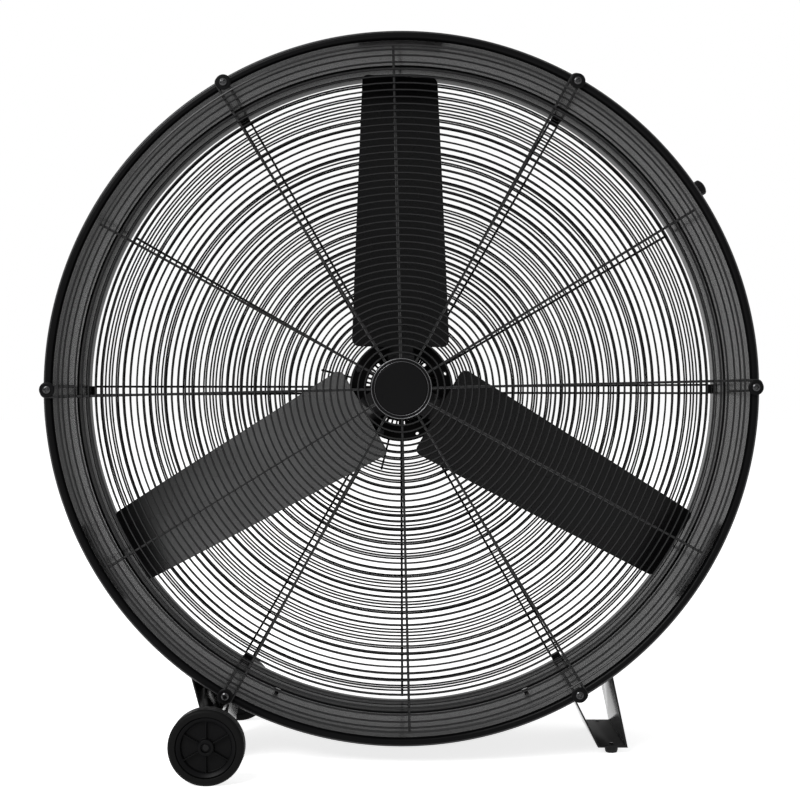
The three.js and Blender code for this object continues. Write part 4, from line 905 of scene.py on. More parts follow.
@dataclass(frozen=True)
class CrossScrew:
    """A pan head screw with a cross recess, drawn along Y with its head towards -Y."""

    head_radius: float
    head_height: float
    shank_radius: float
    length: float

    SEGMENTS = 64
    STATIONS = ((0.06, 0.62, 15), (0.68, 1.0, 7))
    FALL = 0.45
    ARM = 0.21
    REACH = 0.62
    SUNK = 0.55
    EDGE = 0.06

    def skin(self) -> Skin:
        """The head is a dome over polar stations, sunk where the two arms of the cross lie.

        Returns:
            The screw with its seat at y = 0.
        """
        share = np.concatenate([np.linspace(*stations) for stations in self.STATIONS])
        angle = TURN * np.arange(self.SEGMENTS) / self.SEGMENTS
        radius = share[:, None] * self.head_radius
        across, along = radius * np.cos(angle), radius * np.sin(angle)
        dome = self.head_height * (1 - self.FALL * share[:, None] ** 3)
        arm, reach = self.ARM * self.head_radius, self.REACH * self.head_radius
        in_arm = np.maximum(
            self.soft_step(arm - np.abs(across)) * self.soft_step(reach - np.abs(along)),
            self.soft_step(arm - np.abs(along)) * self.soft_step(reach - np.abs(across)),
        )
        height = dome - self.SUNK * self.head_height * in_arm
        top = np.stack([across, -height, along], axis=-1)
        side = self.ring_rows([(self.head_radius, 0.0), (self.shank_radius, 0.0),
                               (self.shank_radius, self.length)], angle)
        grid = np.concatenate([top, side])
        count = grid.shape[0] * self.SEGMENTS
        rows = np.arange(count).reshape(-1, self.SEGMENTS)
        poles = np.array([[0.0, (self.SUNK - 1) * self.head_height, 0.0], [0.0, self.length, 0.0]])
        first = np.stack([np.full(self.SEGMENTS, count), np.roll(rows[0], -1), rows[0]], axis=-1)
        last = np.stack([rows[-1], np.roll(rows[-1], -1), np.full(self.SEGMENTS, count + 1)], axis=-1)
        points = np.concatenate([grid.reshape(-1, 3), poles])
        return Skin(points, cell_quads(rows, wrap=True), np.concatenate([first, last])).outward()

    def soft_step(self, inside: np.ndarray) -> np.ndarray:
        """Rises from 0 to 1 over a short way inside an edge."""
        return np.clip(inside / (self.EDGE * self.head_radius) + 0.5, 0.0, 1.0)

    @staticmethod
    def ring_rows(line: list[tuple[float, float]], angle: np.ndarray) -> np.ndarray:
        """Rows of points on circles about Y, one for each (radius, along)."""
        flat = np.ones(len(angle))
        rows = [np.stack([r * np.cos(angle), y * flat, r * np.sin(angle)], axis=-1) for r, y in line]
        return np.array(rows)


@dataclass(frozen=True)
class GrilleFixings:
    """Six screws with flanged washers that hold the front grille on the drum's bead.

    A washer's slope is (in radius, along).
    """

    circle_radius: float = 0.4846
    turn: float = 0.19
    washer_radius: float = 0.0107
    washer: tuple[float, float] = (-0.1261, -0.1241)
    washer_bore: float = 0.0024
    washer_slope: tuple[float, float] = (0.0018, 0.0009)
    washer_rounding: float = 0.0005
    washer_segments: int = 48
    seat: float = -0.1264
    screw: CrossScrew = CrossScrew(0.0052, 0.0030, 0.0021, 0.014)

    def build(self) -> None:
        """Builds each washer as a turned profile and each screw from the same pattern."""
        low, high = self.washer
        inwards, along = self.washer_slope
        line = rounded(np.array([
            [self.washer_bore, low], [self.washer_radius - inwards, low], [self.washer_radius, low + along],
            [self.washer_radius, high], [self.washer_bore, high],
        ]), self.washer_rounding, loop=True)
        washer = revolved(line, self.washer_segments, loop=True)
        screw = self.screw.skin().moved(Matrix.Translation((0.0, self.seat, 0.0)))
        for i in range(6):
            place = Matrix.Translation((self.circle_radius, 0.0, 0.0))
            angle = SIXTH * i + self.turn
            made(f"guard_washer_{i + 1}", on_fan_axis(round_fan_axis(angle, washer.moved(place))),
                 BLACK_PLASTIC, "root", f"grille_washer_{i + 1}")
            made(f"guard_screw_{i + 1}", on_fan_axis(round_fan_axis(angle, screw.moved(place))),
                 GLOSSY_ZINC, "root", f"grille_screw_{i + 1}")


# ---- motor and blades ----------------------------------------------------------------------------


@dataclass(frozen=True)
class Motor:
    """The motor behind the blades: two slotted end plates, a can and the bracket's arms.

    A window is (first, last) angle between which the vents are open.
    """

    front: float = 0.078
    rear: float = 0.156
    plate: float = 0.003
    bell_radius: float = 0.077
    band_start: float = 0.061
    can_radius: float = 0.062
    vents: int = 46
    vent_band: tuple[float, float] = (0.0440, 0.0536)
    vent_width: float = 0.0039
    front_windows: tuple[tuple[float, float], ...] = ((0.0, 360.0),)
    rear_windows: tuple[tuple[float, float], ...] = (
        (132.0, 184.0), (236.0, 276.0), (41.0, 62.0), (350.0, 360.0),
    )
    plate_step: float = 0.030
    bearing_bore: float = 0.0143
    housing_radius: float = 0.0173
    housing_span: tuple[float, float] = (0.001, 0.009)
    housing_rounding: float = 0.0005
    housing_segments: int = 48
    edge_steps: tuple[int, int] = (96, 12)
    lug_circle: float = 0.070
    lug_radius: float = 0.0026
    lug_angle: float = 20.0
    holes: int = 8
    hole_sides: int = 24
    hole_shares: tuple[float, float, float] = (0.0, 0.3, 1.0)
    can_sheet: float = 0.002
    can_gap: float = 0.0003
    can_rounding: float = 0.0006
    can_segments: int = 128

    def slotted_plate(self, radius: float, face: float, inwards: int, windows: np.ndarray) -> Skin:
        """A disc with a band of slots, as a polar grid whose slot cells are left out on both sides.

        Args:
            radius: The disc's radius.
            face: Where its outer face lies along Y.
            inwards: 1 or -1, the way its thickness goes.
            windows: Rows of (first, last) angle in degrees between which the slots are open.

        Returns:
            The closed skin.
        """
        half = self.vent_width / (self.vent_band[0] + self.vent_band[1])
        period = TURN / self.vents
        middles = np.arange(self.vents) * period
        angle = (middles[:, None] + [-half, half, period / 2]).ravel()
        turned = (np.degrees(middles)[:, None] - windows[:, 0]) % 360 < windows[:, 1] - windows[:, 0]
        slots = 3 * np.flatnonzero(turned.any(axis=1))
        radii = np.array([self.bearing_bore, self.plate_step, *self.vent_band, radius])
        rows, columns = len(radii), len(angle)
        flat = radii[:, None, None] * np.stack([np.cos(angle), np.sin(angle)], axis=-1)
        number = np.arange(rows * columns).reshape(rows, columns)
        solid = np.ones((rows - 1, columns), bool)
        solid[2, slots] = False
        cells = cell_quads(number, wrap=True).reshape(rows - 1, columns, 4)[solid]
        low, high = number[2, slots], number[3, slots]
        left, right = number[2, slots + 1], number[3, slots + 1]
        edges = [[low, high], [high, right], [right, left], [left, low]]
        borders = [number[0], number[-1][::-1]]
        walls = [self.wall(border, rows * columns) for border in borders]
        walls += [np.stack([a, b, b + rows * columns, a + rows * columns], axis=-1) for a, b in edges]
        return self.two_sided(flat.reshape(-1, 2), cells, np.concatenate(walls), face, inwards)

    def drilled_band(self, inner: float, outer: float, face: float, inwards: int) -> Skin:
        """The disc's outer band, in equal sectors with a round hole in each.

        In a sector a point runs from the hole's circle to the sector's border along a straight line,
        and the border is met at the same share of its half width and half height.

        Args:
            inner: The band's inner radius.
            outer: Its outer radius.
            face: Where its outer face lies along Y.
            inwards: 1 or -1, the way its thickness goes.

        Returns:
            The closed skin.
        """
        turn = TURN * np.arange(self.hole_sides) / self.hole_sides
        reach = 1.0 / np.maximum(np.abs(np.cos(turn)), np.abs(np.sin(turn)))
        side = math.pi / self.holes * np.cos(turn) * reach
        middle = self.lug_circle
        up = np.sin(turn) * reach
        far = middle + np.where(up > 0, up * (outer - middle), up * (middle - inner))
        border = np.stack([far * np.cos(side), far * np.sin(side)], axis=-1)
        hole = np.stack([middle + self.lug_radius * np.sin(turn), self.lug_radius * np.cos(turn)], axis=-1)
        share = np.array(self.hole_shares)[:, None, None]
        sector = (hole + (border - hole) * share).reshape(-1, 2)
        rows = np.arange(len(sector)).reshape(len(share), self.hole_sides)
        place = TURN * np.arange(self.holes) / self.holes + math.radians(self.lug_angle)
        spin = np.array([[np.cos(place), -np.sin(place)], [np.sin(place), np.cos(place)]]).transpose(2, 0, 1)
        flat = np.einsum("kij,nj->kni", spin, sector).reshape(-1, 2)
        starts = (len(sector) * np.arange(self.holes))[:, None, None]
        cells = (cell_quads(rows, wrap=True) + starts).reshape(-1, 4)
        count = len(flat)
        on_arc = np.abs(np.roll(up, -1) - up) < TINY
        arcs = np.stack([rows[-1], np.roll(rows[-1], -1)])[:, on_arc & (np.abs(up) > 1 - TINY)]
        inner_walls = self.wall(rows[0], count)
        outer_walls = np.stack([arcs[1], arcs[0], arcs[0] + count, arcs[1] + count], axis=-1)
        walls = (np.concatenate([inner_walls, outer_walls]) + starts).reshape(-1, 4)
        return self.two_sided(flat, cells, walls, face, inwards)

    def two_sided(self, flat: np.ndarray, cells: np.ndarray, walls: np.ndarray, face: float,
                  inwards: int) -> Skin:
        """Lays flat cells on both faces of the plate and joins them by walls, with equal points merged.

        Args:
            flat: Points as (x, z).
            cells: Faces of the outer side.
            walls: Faces between both sides.
            face: Where the outer side lies along Y.
            inwards: 1 or -1, the way to the inner side.

        Returns:
            The closed skin.
        """
        points = np.concatenate([
            np.stack([flat[:, 0], np.full(len(flat), y), flat[:, 1]], axis=-1)
            for y in (face, face + inwards * self.plate)
        ])
        kept, place = np.unique(np.round(points, 7), axis=0, return_inverse=True)
        quads = place.ravel()[np.concatenate([cells[:, ::-1], cells + len(flat), walls])]
        return Skin(kept, quads, NO_TRIS).outward()

    @staticmethod
    def wall(row: np.ndarray, second: int) -> np.ndarray:
        """Faces between one closed row of points and the same row of the second layer."""
        following = np.roll(row, -1)
        return np.stack([row, following, following + second, row + second], axis=-1)

    def housing(self, face: float, inwards: int) -> Skin:
        """The bearing's housing, a ring that stands on the plate's inner side.

        Args:
            face: Where the plate's outer face lies along Y.
            inwards: 1 or -1, the way to the inner side.

        Returns:
            The ring's skin.
        """
        low, high = (face + inwards * reach for reach in self.housing_span)
        inner, outer = self.bearing_bore, self.housing_radius
        line = rounded(np.array([[inner, low], [outer, low], [outer, high], [inner, high]]),
                       self.housing_rounding, loop=True)
        return revolved(line, self.housing_segments, loop=True)

    def rolled_edge(self, radius: float, face: float, inwards: int) -> Skin:
        """The plate's rounded edge, half as thick as the plate in radius."""
        half = self.plate / 2
        return wire_ring(radius - half, face + inwards * half, half, *self.edge_steps)

    def build(self) -> None:
        """Builds the plates and the can, and finishes the pieces that keep their solids."""
        flat_radius = self.bell_radius - self.plate / 2
        front = [
            self.slotted_plate(self.band_start, self.front, 1, np.array(self.front_windows)),
            self.drilled_band(self.band_start, flat_radius, self.front, 1),
            self.housing(self.front, 1),
            self.rolled_edge(self.bell_radius, self.front, 1),
        ]
        made("motor_front_plate", on_fan_axis(joined(front)), MOTOR_PAINT, "root", "motor_bell_front")
        flat_radius = self.can_radius - self.plate / 2
        rear = [
            self.slotted_plate(flat_radius, self.rear, -1, np.array(self.rear_windows)),
            self.housing(self.rear, -1),
            self.rolled_edge(self.can_radius, self.rear, -1),
        ]
        made("motor_rear_plate", on_fan_axis(joined(rear)), MOTOR_PAINT, "root", "motor_bell_rear")
        inner, inset = self.can_radius - self.can_sheet, self.plate + self.can_gap
        low, high = self.front + inset, self.rear - inset
        can = rounded(np.array([
            [inner, low], [self.can_radius, low], [self.can_radius, high], [inner, high],
        ]), self.can_rounding, loop=True)
        shell = on_fan_axis(revolved(can, self.can_segments, loop=True))
        made("motor_shell", shell, MOTOR_PAINT, "root", "motor_can")
        softened("motor_bracket", SHEET_EDGE, MOTOR_PAINT, "root")
        refinished(LAMINATIONS, "stator_core", "rotor_core")
        refinished(BRIGHT_STEEL, "bearing_front", "bearing_rear", "rotor_shaft")
        for i in range(4):
            softened(f"motor_bolt_{i + 1}", FINE_EDGE, DARK_ZINC, "root")


@dataclass(frozen=True)
class Blades:
    """Three pitched and twisted sheet blades bolted to the hub.

    The pitch runs in between the two radii of twist. The tip bends back over the length
    tip_bend[0] by tip_bend[1].
    """

    plane: float = 0.035
    root: float = 0.062
    tip: float = 0.457
    root_width: float = 0.1555
    tip_width: float = 0.1133
    turn: float = 90.2
    spacing: float = 120.0
    sheet: float = 0.0024
    root_corner: float = 0.011
    tip_corner: float = 0.0085
    neck_width: float = 0.038
    neck_inner: float = 0.021
    root_pitch: float = 24.0
    tip_pitch: float = 16.0
    twist: tuple[float, float] = (0.046, 0.059)
    camber: float = 0.003
    tip_bend: tuple[float, float] = (0.057, 0.005)
    neck_middle: float = 0.034
    neck_gap: float = 0.0005
    across_steps: int = 25
    twist_steps: int = 6
    corner_steps: int = 12
    middle_steps: int = 48

    def width_at(self, radius: np.ndarray) -> np.ndarray:
        """Half the blade's width, which narrows evenly to the tip and rounds off at both ends.

        Args:
            radius: Distances from the fan axis.

        Returns:
            Half the width at each.
        """
        share = (radius - self.root) / (self.tip - self.root)
        half = (self.root_width + (self.tip_width - self.root_width) * share) / 2
        rounding = np.zeros_like(radius)
        for inside, corner in ((radius - self.root, self.root_corner), (self.tip - radius, self.tip_corner)):
            missing = 1 - np.clip(inside / corner, 0.0, 1.0)
            rounding += corner * (1 - np.sqrt(np.clip(1 - missing**2, 0.0, 1.0)))
        return np.where(radius < self.root, self.neck_width / 2, half - rounding)

    def stations(self) -> np.ndarray:
        """Radii of the blade's stations, close together on the rounded corners.

        Returns:
            The radii, growing outwards.
        """
        arc = 1 - np.cos(np.linspace(0.0, math.pi / 2, self.corner_steps))
        twist = np.linspace(*self.twist, self.twist_steps)
        neck = [self.neck_inner, self.neck_middle, *twist, self.root - self.neck_gap]
        straight = self.root + self.root_corner, self.tip - self.tip_corner
        middle = np.linspace(*straight, self.middle_steps)[1:-1]
        tip = (self.tip - self.tip_corner * arc)[::-1]
        return np.concatenate([neck, self.root + self.root_corner * arc, middle, tip])

    def blade(self) -> Skin:
        """A blade along +X: y = plane - offset * sin(pitch) + camber + bend, z = offset * cos(pitch).

        Returns:
            The sheet with its two faces and its edge, closed.
        """
        radius = self.stations()[:, None]
        across = np.sin(np.linspace(-math.pi / 2, math.pi / 2, self.across_steps))[None, :]
        share = np.clip((radius - self.twist[0]) / (self.twist[1] - self.twist[0]), 0.0, 1.0)
        twist = share**2 * (3 - 2 * share)
        span = np.maximum((radius - self.root) / (self.tip - self.root), 0.0)
        pitch = np.radians(self.root_pitch + (self.tip_pitch - self.root_pitch) * span) * twist
        offset = across * self.width_at(radius)
        reach, back = self.tip_bend
        bend = back * np.clip(1 - (self.tip - radius) / reach, 0.0, 1.0)**2
        middle = self.plane - offset * np.sin(pitch) + self.camber * twist * (1 - across**2) + bend
        sheets = [
            np.stack([np.broadcast_to(radius, offset.shape), middle + side * self.sheet / 2,
                      offset * np.cos(pitch)], axis=-1)
            for side in (-1, 1)
        ]
        rows, columns = offset.shape
        number = np.arange(rows * columns).reshape(rows, columns)
        second = rows * columns
        border = np.concatenate([number[0], number[1:, -1], number[-1, -2::-1], number[-2:0:-1, 0]])
        faces = cell_quads(number, wrap=False)
        quads = np.concatenate([faces[:, ::-1], faces + second, Motor.wall(border, second)])
        return Skin(np.concatenate([sheet.reshape(-1, 3) for sheet in sheets]), quads, NO_TRIS).outward()

    def build(self) -> None:
        """Builds the three blades and finishes the hub's pieces."""
        for i in range(3):
            skin = on_fan_axis(round_fan_axis(self.turn + self.spacing * i, self.blade()))
            made(f"fan_blade_{i + 1}", skin, BLADE_PAINT, "rotor", f"blade_{i + 1}")
            softened(f"blade_bolt_{i + 1}", FINE_EDGE, DARK_ZINC, "rotor")
        softened("blade_hub", SHEET_EDGE, MOTOR_PAINT, "rotor")
        softened("shaft_nut", SHEET_EDGE, DARK_ZINC, "rotor")


# ---- control box ---------------------------------------------------------------------------------


@dataclass(frozen=True)
class ControlBox:
    """The sheet box on the drum's side with its knob and cable gland.

    The knob's corners are pairs of (radius or distance from its wall, height or distance from its
    top), from the foot up.
    """

    box_edge: float = 0.0010
    cover_edge: float = 0.0006
    angle: float = 34.0
    knob_along: float = 0.025
    knob_base: float = 0.5064
    knob_radius: float = 0.0125
    knob_height: float = 0.020
    knob_rounding: float = 0.0008
    knob_segments: int = 144
    foot: tuple[float, float] = (0.002, 0.0028)
    neck: tuple[float, float] = (0.0008, 0.0010)
    shoulder: float = 0.001
    cap: tuple[float, float] = (0.0028, 0.0006)
    crown: tuple[float, float] = (0.006, 0.0023)
    dome: float = 0.003
    flutes: int = 18
    flute_depth: float = 0.0004
    fluted_from: tuple[float, float] = (0.009, 0.003)

    def outwards(self) -> Matrix:
        """Carries a shape drawn along +Y from the origin to point out of the drum at the knob.

        Returns:
            The placement.
        """
        spin = Matrix.Rotation(-math.radians(self.angle), 4, "Y")
        stand = Matrix.Rotation(-math.pi / 2, 4, "Z")
        shift = Matrix.Translation((self.knob_base, self.knob_along, 0.0))
        return Matrix.Translation((0.0, 0.0, AXIS_HEIGHT)) @ spin @ shift @ stand

    def knob(self) -> Skin:
        """A turned knob whose wall is drawn in by shallow flutes, r = R - d (1 + cos(n a)) / 2.

        Returns:
            The knob standing on y = 0.
        """
        radius, height = self.knob_radius, self.knob_height
        line = rounded(np.array([
            [0.0, 0.0],
            [radius, 0.0],
            [radius, self.foot[0]],
            [radius - self.neck[0], self.foot[1]],
            [radius - self.neck[1], height - self.shoulder],
            [radius - self.cap[0], height + self.cap[1]],
            [self.crown[0], height + self.crown[1]],
            [0.0, height + self.dome],
        ]), self.knob_rounding, steps=5)
        skin = revolved(line, self.knob_segments)
        points = skin.points.copy()
        reach = np.hypot(points[:, 0], points[:, 2])
        angle = np.arctan2(points[:, 2], points[:, 0])
        inmost, lowest = self.fluted_from
        on_wall = (points[:, 1] > lowest) & (points[:, 1] < height) & (reach > inmost)
        drawn_in = np.where(on_wall, self.flute_depth * (1 + np.cos(self.flutes * angle)) / 2, 0.0)
        factor = 1 - drawn_in / np.maximum(reach, TINY)
        points[:, 0] *= factor
        points[:, 2] *= factor
        return Skin(points, skin.quads, skin.tris)

    def build(self) -> None:
        """Builds the knob and the gland, and softens the box and its cover."""
        softened("control_box", self.box_edge, BOX_COAT, "root")
        softened("control_box_cover", self.cover_edge, BOX_COAT, "root")
        refinished(BLACK_PLASTIC, "rotary_switch", "run_capacitor")
        made("control_knob_cap", self.knob().moved(self.outwards()), BLACK_PLASTIC, "control_knob", "knob")
        softened("cable_gland", FINE_EDGE, BLACK_PLASTIC, "root")


# ---- straps, wheels and feet ---------------------------------------------------------------------


@dataclass(frozen=True)
class Wheels:
    """Two moulded wheels on a plain axle that lies in a tube under the drum.

    A slope, flange or bead gives distances from the edge that it shapes, first in radius and then
    along the axle. A section is (inner radius, outer radius, low, high).
    """

    x: float = -0.254
    radius: float = 0.050
    width: float = 0.030
    face: float = 0.250
    tyre_inner: float = 0.040
    crown: float = 0.003
    groove_depth: float = 0.0007
    groove_along: tuple[float, float, float, float] = (0.0085, 0.0090, 0.0098, 0.0103)
    bead: tuple[float, float] = (0.0012, 0.0003)
    tyre_rounding: float = 0.0012
    ring: float = 0.0333
    ring_slope: tuple[float, float, float] = (0.0008, 0.0036, 0.0026)
    ring_step: float = 0.0012
    dish: float = 0.009
    set_back: float = 0.002
    flange: tuple[float, float, float] = (0.0016, 0.0002, 0.0008)
    rim_gap: float = 0.00002
    rim_rounding: float = 0.0007
    boss: float = 0.0104
    boss_slope: float = 0.0008
    socket: float = 0.0066
    socket_depth: float = 0.005
    bore: float = 0.0048
    segments: int = 128
    ribs: int = 6
    rib_along: float = 0.0065
    rib_lap: float = 0.001
    rib: tuple[float, float, float] = (0.0007, 0.0009, 0.003)
    small_rounding: float = 0.0004
    small_segments: int = 48
    clip_section: tuple[float, float, float, float] = (0.0046, 0.0063, 0.0051, 0.0067)
    rod: tuple[float, float] = (0.0045, 0.246)
    rod_rounding: float = 0.0008
    sleeve: tuple[float, float, float, float] = (0.0048, 0.0087, -0.106, 0.102)
    sleeve_rounding: float = 0.0005

    @staticmethod
    def box_line(inner: float, outer: float, low: float, high: float) -> np.ndarray:
        """The four corners of a ring's section as (radius, along)."""
        return np.array([[inner, low], [outer, low], [outer, high], [inner, high]])

    def tyre(self) -> Skin:
        """The tyre's turned profile, with a crowned tread and two shallow grooves.

        Returns:
            The tyre with its outer side at y = 0.
        """
        inner, outer = self.tyre_inner, self.radius
        start, floor_start, floor_end, end = self.groove_along
        half = np.array([
            [inner, self.bead[1]],
            [inner + self.bead[0], 0.0],
            [outer - self.crown, 0.0],
            [outer, self.crown],
            [outer, start],
            [outer - self.groove_depth, floor_start],
            [outer - self.groove_depth, floor_end],
            [outer, end],
        ])
        line = np.concatenate([half, half[::-1] * [1.0, -1.0] + [0.0, self.width]])
        return revolved(rounded(line, self.tyre_rounding, loop=True), self.segments, loop=True)

    def rim(self) -> Skin:
        """The rim's turned profile with a dished web, and its thin ribs.

        Returns:
            The rim in its tyre's place.
        """
        low, high = self.set_back, self.width - self.set_back
        outer = self.tyre_inner - self.rim_gap
        slope, ring_low, step_low = self.ring_slope
        inset, raised, chamfer = self.flange
        line = np.array([
            [self.bore, low + self.socket_depth],
            [self.socket, low + self.socket_depth],
            [self.socket, low],
            [self.boss, low],
            [self.boss + self.boss_slope, low + self.dish],
            [self.ring - slope, low + self.dish],
            [self.ring, low + ring_low],
            [self.ring + self.ring_step, low + step_low],
            [outer - inset, low - raised],
            [outer, low + chamfer],
            [outer, high],
            [self.bore, high],
        ])
        turned = revolved(rounded(line, self.rim_rounding, loop=True), self.segments, loop=True)
        along = low + self.rib_along
        path = np.array([[self.boss - self.rib_lap, along, 0.0], [self.ring + self.rib_lap, along, 0.0]])
        top, foot, half = self.rib
        section = rounded(np.array([[-top, -half], [-foot, half], [foot, half], [top, -half]]),
                          self.small_rounding, loop=True)
        rib = swept(path, section, np.tile([0.0, 0.0, 1.0], (2, 1)), np.tile(ALONG_Y, (2, 1)))
        return joined([turned, *(round_fan_axis(SIXTH * (i + 0.5), rib) for i in range(self.ribs))])

    def clip(self) -> Skin:
        """The push-on cap ring in the rim's socket."""
        line = rounded(self.box_line(*self.clip_section), self.small_rounding, loop=True)
        return revolved(line, self.small_segments, loop=True)

    def build(self) -> None:
        """Builds both wheels, one turned round, and the axle between them."""
        for end, turn, y in (("front", 0.0, -self.face), ("rear", math.pi, self.face)):
            place = Matrix.Translation((self.x, y, self.radius)) @ Matrix.Rotation(turn, 4, "Z")
            made(f"{end}_rim", self.rim().moved(place), BLACK_PLASTIC, f"{end}_wheel", f"{end}_wheel_rim")
            made(f"{end}_tread", self.tyre().moved(place), TYRE_RUBBER, f"{end}_wheel", f"{end}_tyre")
            # The cap's near-black steel is painted shade inside the wheel's socket.
            made(f"{end}_axle_clip", self.clip().moved(place), CLIP_PAINTED_SHADE, "root", f"{end}_wheel_clip")
        place = Matrix.Translation((self.x, 0.0, self.radius))
        radius, end = self.rod
        rod = rounded(self.box_line(0.0, radius, -end, end), self.rod_rounding)
        made("axle_rod", revolved(rod, self.small_segments).moved(place), BLACK_OXIDE, "root", "axle")
        tube = rounded(self.box_line(*self.sleeve), self.sleeve_rounding, loop=True)
        sleeve = revolved(tube, self.small_segments, loop=True).moved(place)
        made("axle_sleeve", sleeve, STRAP_COAT, "root", "axle_tube")


@dataclass(frozen=True)
class Feet:
    """Two rubber feet under the right strap.

    The sole's edge, the waist and the blind bore are pairs of (in radius, height).
    """

    x: float = 0.299
    places: tuple[float, float] = (-0.023, 0.155)
    height: float = 0.0092
    sole_radius: float = 0.0084
    sole_edge: tuple[float, float] = (0.0012, 0.0010)
    top_radius: float = 0.0095
    waist: tuple[float, float] = (0.0003, 0.0042)
    blind_bore: tuple[float, float] = (0.0025, 0.0047)
    rounding: float = 0.0005
    segments: int = 64
    screw_edge: float = 0.0003

    def foot(self) -> Skin:
        """A turned foot, narrower at the floor, with a blind bore for its screw, drawn along Y.

        Returns:
            The foot, its sole at y = 0.
        """
        bore, bottom = self.blind_bore
        line = np.array([
            [0.0, 0.0],
            [self.sole_radius - self.sole_edge[0], 0.0],
            [self.sole_radius, self.sole_edge[1]],
            [self.top_radius - self.waist[0], self.waist[1]],
            [self.top_radius, self.height],
            [bore, self.height],
            [bore, bottom],
            [0.0, bottom],
        ])
        return revolved(rounded(line, self.rounding), self.segments)

    def build(self) -> None:
        """Builds the feet and softens their screws."""
        for name, y in zip(("front", "rear"), self.places):
            place = Matrix.Translation((self.x, y, 0.0)) @ Matrix.Rotation(math.pi / 2, 4, "X")
            made(f"{name}_foot_pad", self.foot().moved(place), FOOT_RUBBER, "root", f"foot_{name}")
            softened(f"foot_screw_{name}", self.screw_edge, DARK_ZINC, "root")


@dataclass(frozen=True)
class Straps:
    """The bent straps under the drum and the bolts that hold them."""

    straps: tuple[str, str] = ("wheel_bracket", "foot_bracket")
    bolts: tuple[str, str] = ("bracket_bolt_left", "bracket_bolt_right")

    def build(self) -> None:
        """Softens both straps and their bolts."""
        for strap in self.straps:
            softened(strap, SHEET_EDGE, STRAP_COAT, "root")
        for bolt in self.bolts:
            softened(bolt, SHEET_EDGE, DARK_ZINC, "root")


# ---- studio --------------------------------------------------------------------------------------


@dataclass(frozen=True)
class SoftLamp:
    """One square soft box, aimed at the fan."""

    name: str
    place: tuple[float, float, float]
    size: float
    watts: float
    target: tuple[float, float, float] = (0.0, 0.0, 0.5)

    def build(self) -> None:
        """Adds the lamp to the scene."""
        data = bpy.data.lights.new(self.name, "AREA")
        data.shape = "SQUARE"
        data.size = self.size
        data.energy = self.watts
        lamp = bpy.data.objects.new(self.name, data)
        lamp.visible_camera = False
        lamp.location = self.place
        lamp.rotation_euler = (Vector(self.target) - Vector(self.place)).to_track_quat("-Z", "Y").to_euler()
        bpy.context.scene.collection.objects.link(lamp)


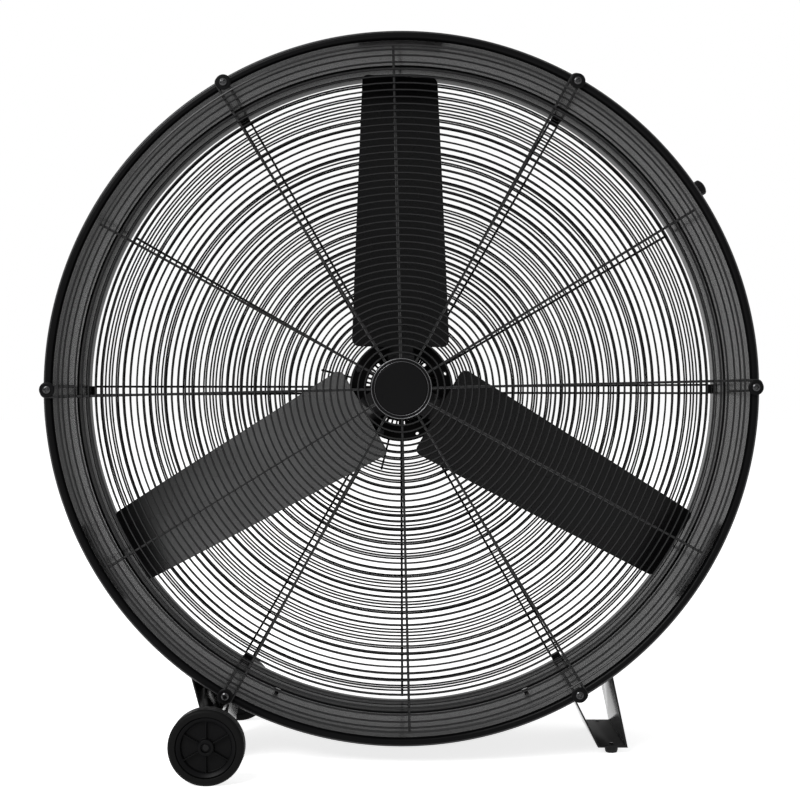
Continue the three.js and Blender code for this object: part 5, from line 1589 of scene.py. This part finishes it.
@dataclass(frozen=True)
class Studio:
    """A white room: a pale floor, a white surround, soft lamps and the camera."""

    camera_place: tuple[float, float, float] = (-0.0019, -2.529, 0.5014)
    lens: float = 79.18
    sensor: float = 36.0
    sight: float = 200.0
    floor_half: float = 40.0
    floor_colour: float = 0.80
    floor_roughness: float = 0.9
    floor_glow: float = 0.80
    surround: float = 0.42
    lamps: tuple[SoftLamp, ...] = field(default_factory=lambda: (
        SoftLamp("key", (-2.2, -3.6, 3.45), 2.7, 300.0),
        SoftLamp("rim", (-1.5, 6.0, 0.6), 2.4, 28.0),
    ))

    def camera(self) -> None:
        """Adds the camera, square on to the drum's front."""
        data = bpy.data.cameras.new("camera")
        data.lens = self.lens
        data.sensor_width = self.sensor
        data.clip_end = self.sight
        camera = bpy.data.objects.new("camera", data)
        camera.location = self.camera_place
        camera.rotation_euler = (math.pi / 2, 0.0, 0.0)
        bpy.context.scene.collection.objects.link(camera)
        bpy.context.scene.camera = camera

    @staticmethod
    def seen_directly(tree: bpy.types.NodeTree) -> bpy.types.NodeSocket:
        """One for camera, glossy and transmission rays, and nought for light on the object.

        Args:
            tree: The node tree to add it to.

        Returns:
            The mask.
        """
        path = tree.nodes.new("ShaderNodeLightPath")
        total = path.outputs["Is Camera Ray"]
        for name in ("Is Glossy Ray", "Is Transmission Ray"):
            larger = tree.nodes.new("ShaderNodeMath")
            larger.operation = "MAXIMUM"
            tree.links.new(total, larger.inputs[0])
            tree.links.new(path.outputs[name], larger.inputs[1])
            total = larger.outputs[0]
        return total

    def floor(self) -> None:
        """Adds the floor, which glows a little to the eye and keeps the fan's shadow."""
        half = self.floor_half
        mesh = bpy.data.meshes.new("floor")
        corners = [(-half, -half, 0), (half, -half, 0), (half, half, 0), (-half, half, 0)]
        mesh.from_pydata(corners, [], [(0, 1, 2, 3)])
        floor = bpy.data.objects.new("floor", mesh)
        bpy.context.scene.collection.objects.link(floor)
        material = bpy.data.materials.new("pale floor")
        material.use_nodes = True
        tree = material.node_tree
        shader = tree.nodes["Principled BSDF"]
        shader.inputs["Base Color"].default_value = (self.floor_colour,) * 3 + (1.0,)
        shader.inputs["Roughness"].default_value = self.floor_roughness
        shader.inputs["Specular IOR Level"].default_value = 0.0
        shader.inputs["Emission Color"].default_value = (1.0, 1.0, 1.0, 1.0)
        glow = tree.nodes.new("ShaderNodeMath")
        glow.operation = "MULTIPLY"
        glow.inputs[1].default_value = self.floor_glow
        tree.links.new(self.seen_directly(tree), glow.inputs[0])
        tree.links.new(glow.outputs[0], shader.inputs["Emission Strength"])
        mesh.materials.append(material)

    def world(self) -> None:
        """Sets the surround: white where it is seen or mirrored, and a plain level as a light."""
        world = bpy.data.worlds.new("surround")
        bpy.context.scene.world = world
        world.use_nodes = True
        tree = world.node_tree
        shader = tree.nodes["Background"]
        shader.inputs["Color"].default_value = (1.0, 1.0, 1.0, 1.0)
        level = tree.nodes.new("ShaderNodeMapRange")
        level.inputs["To Min"].default_value = self.surround
        level.inputs["To Max"].default_value = 1.0
        tree.links.new(self.seen_directly(tree), level.inputs["Value"])
        tree.links.new(level.outputs["Result"], shader.inputs["Strength"])

    def build(self) -> None:
        """Builds the whole studio."""
        bpy.context.scene.view_settings.view_transform = "Standard"
        self.camera()
        self.floor()
        self.world()
        for lamp in self.lamps:
            lamp.build()


def main() -> None:
    """Builds the studio and the fan's sub-assemblies in order."""
    logging.basicConfig(level=logging.INFO, format="%(name)s: %(message)s")
    assemblies = (
        Studio(), DrumShell(), FrontGrille(), RearGrille(), Badge(), GrilleFixings(), Motor(), Blades(),
        ControlBox(), Straps(), Wheels(), Feet(),
    )
    for assembly in assemblies:
        LOG.info("building %s", type(assembly).__name__)
        assembly.build()


if __name__ == "__main__":
    main()
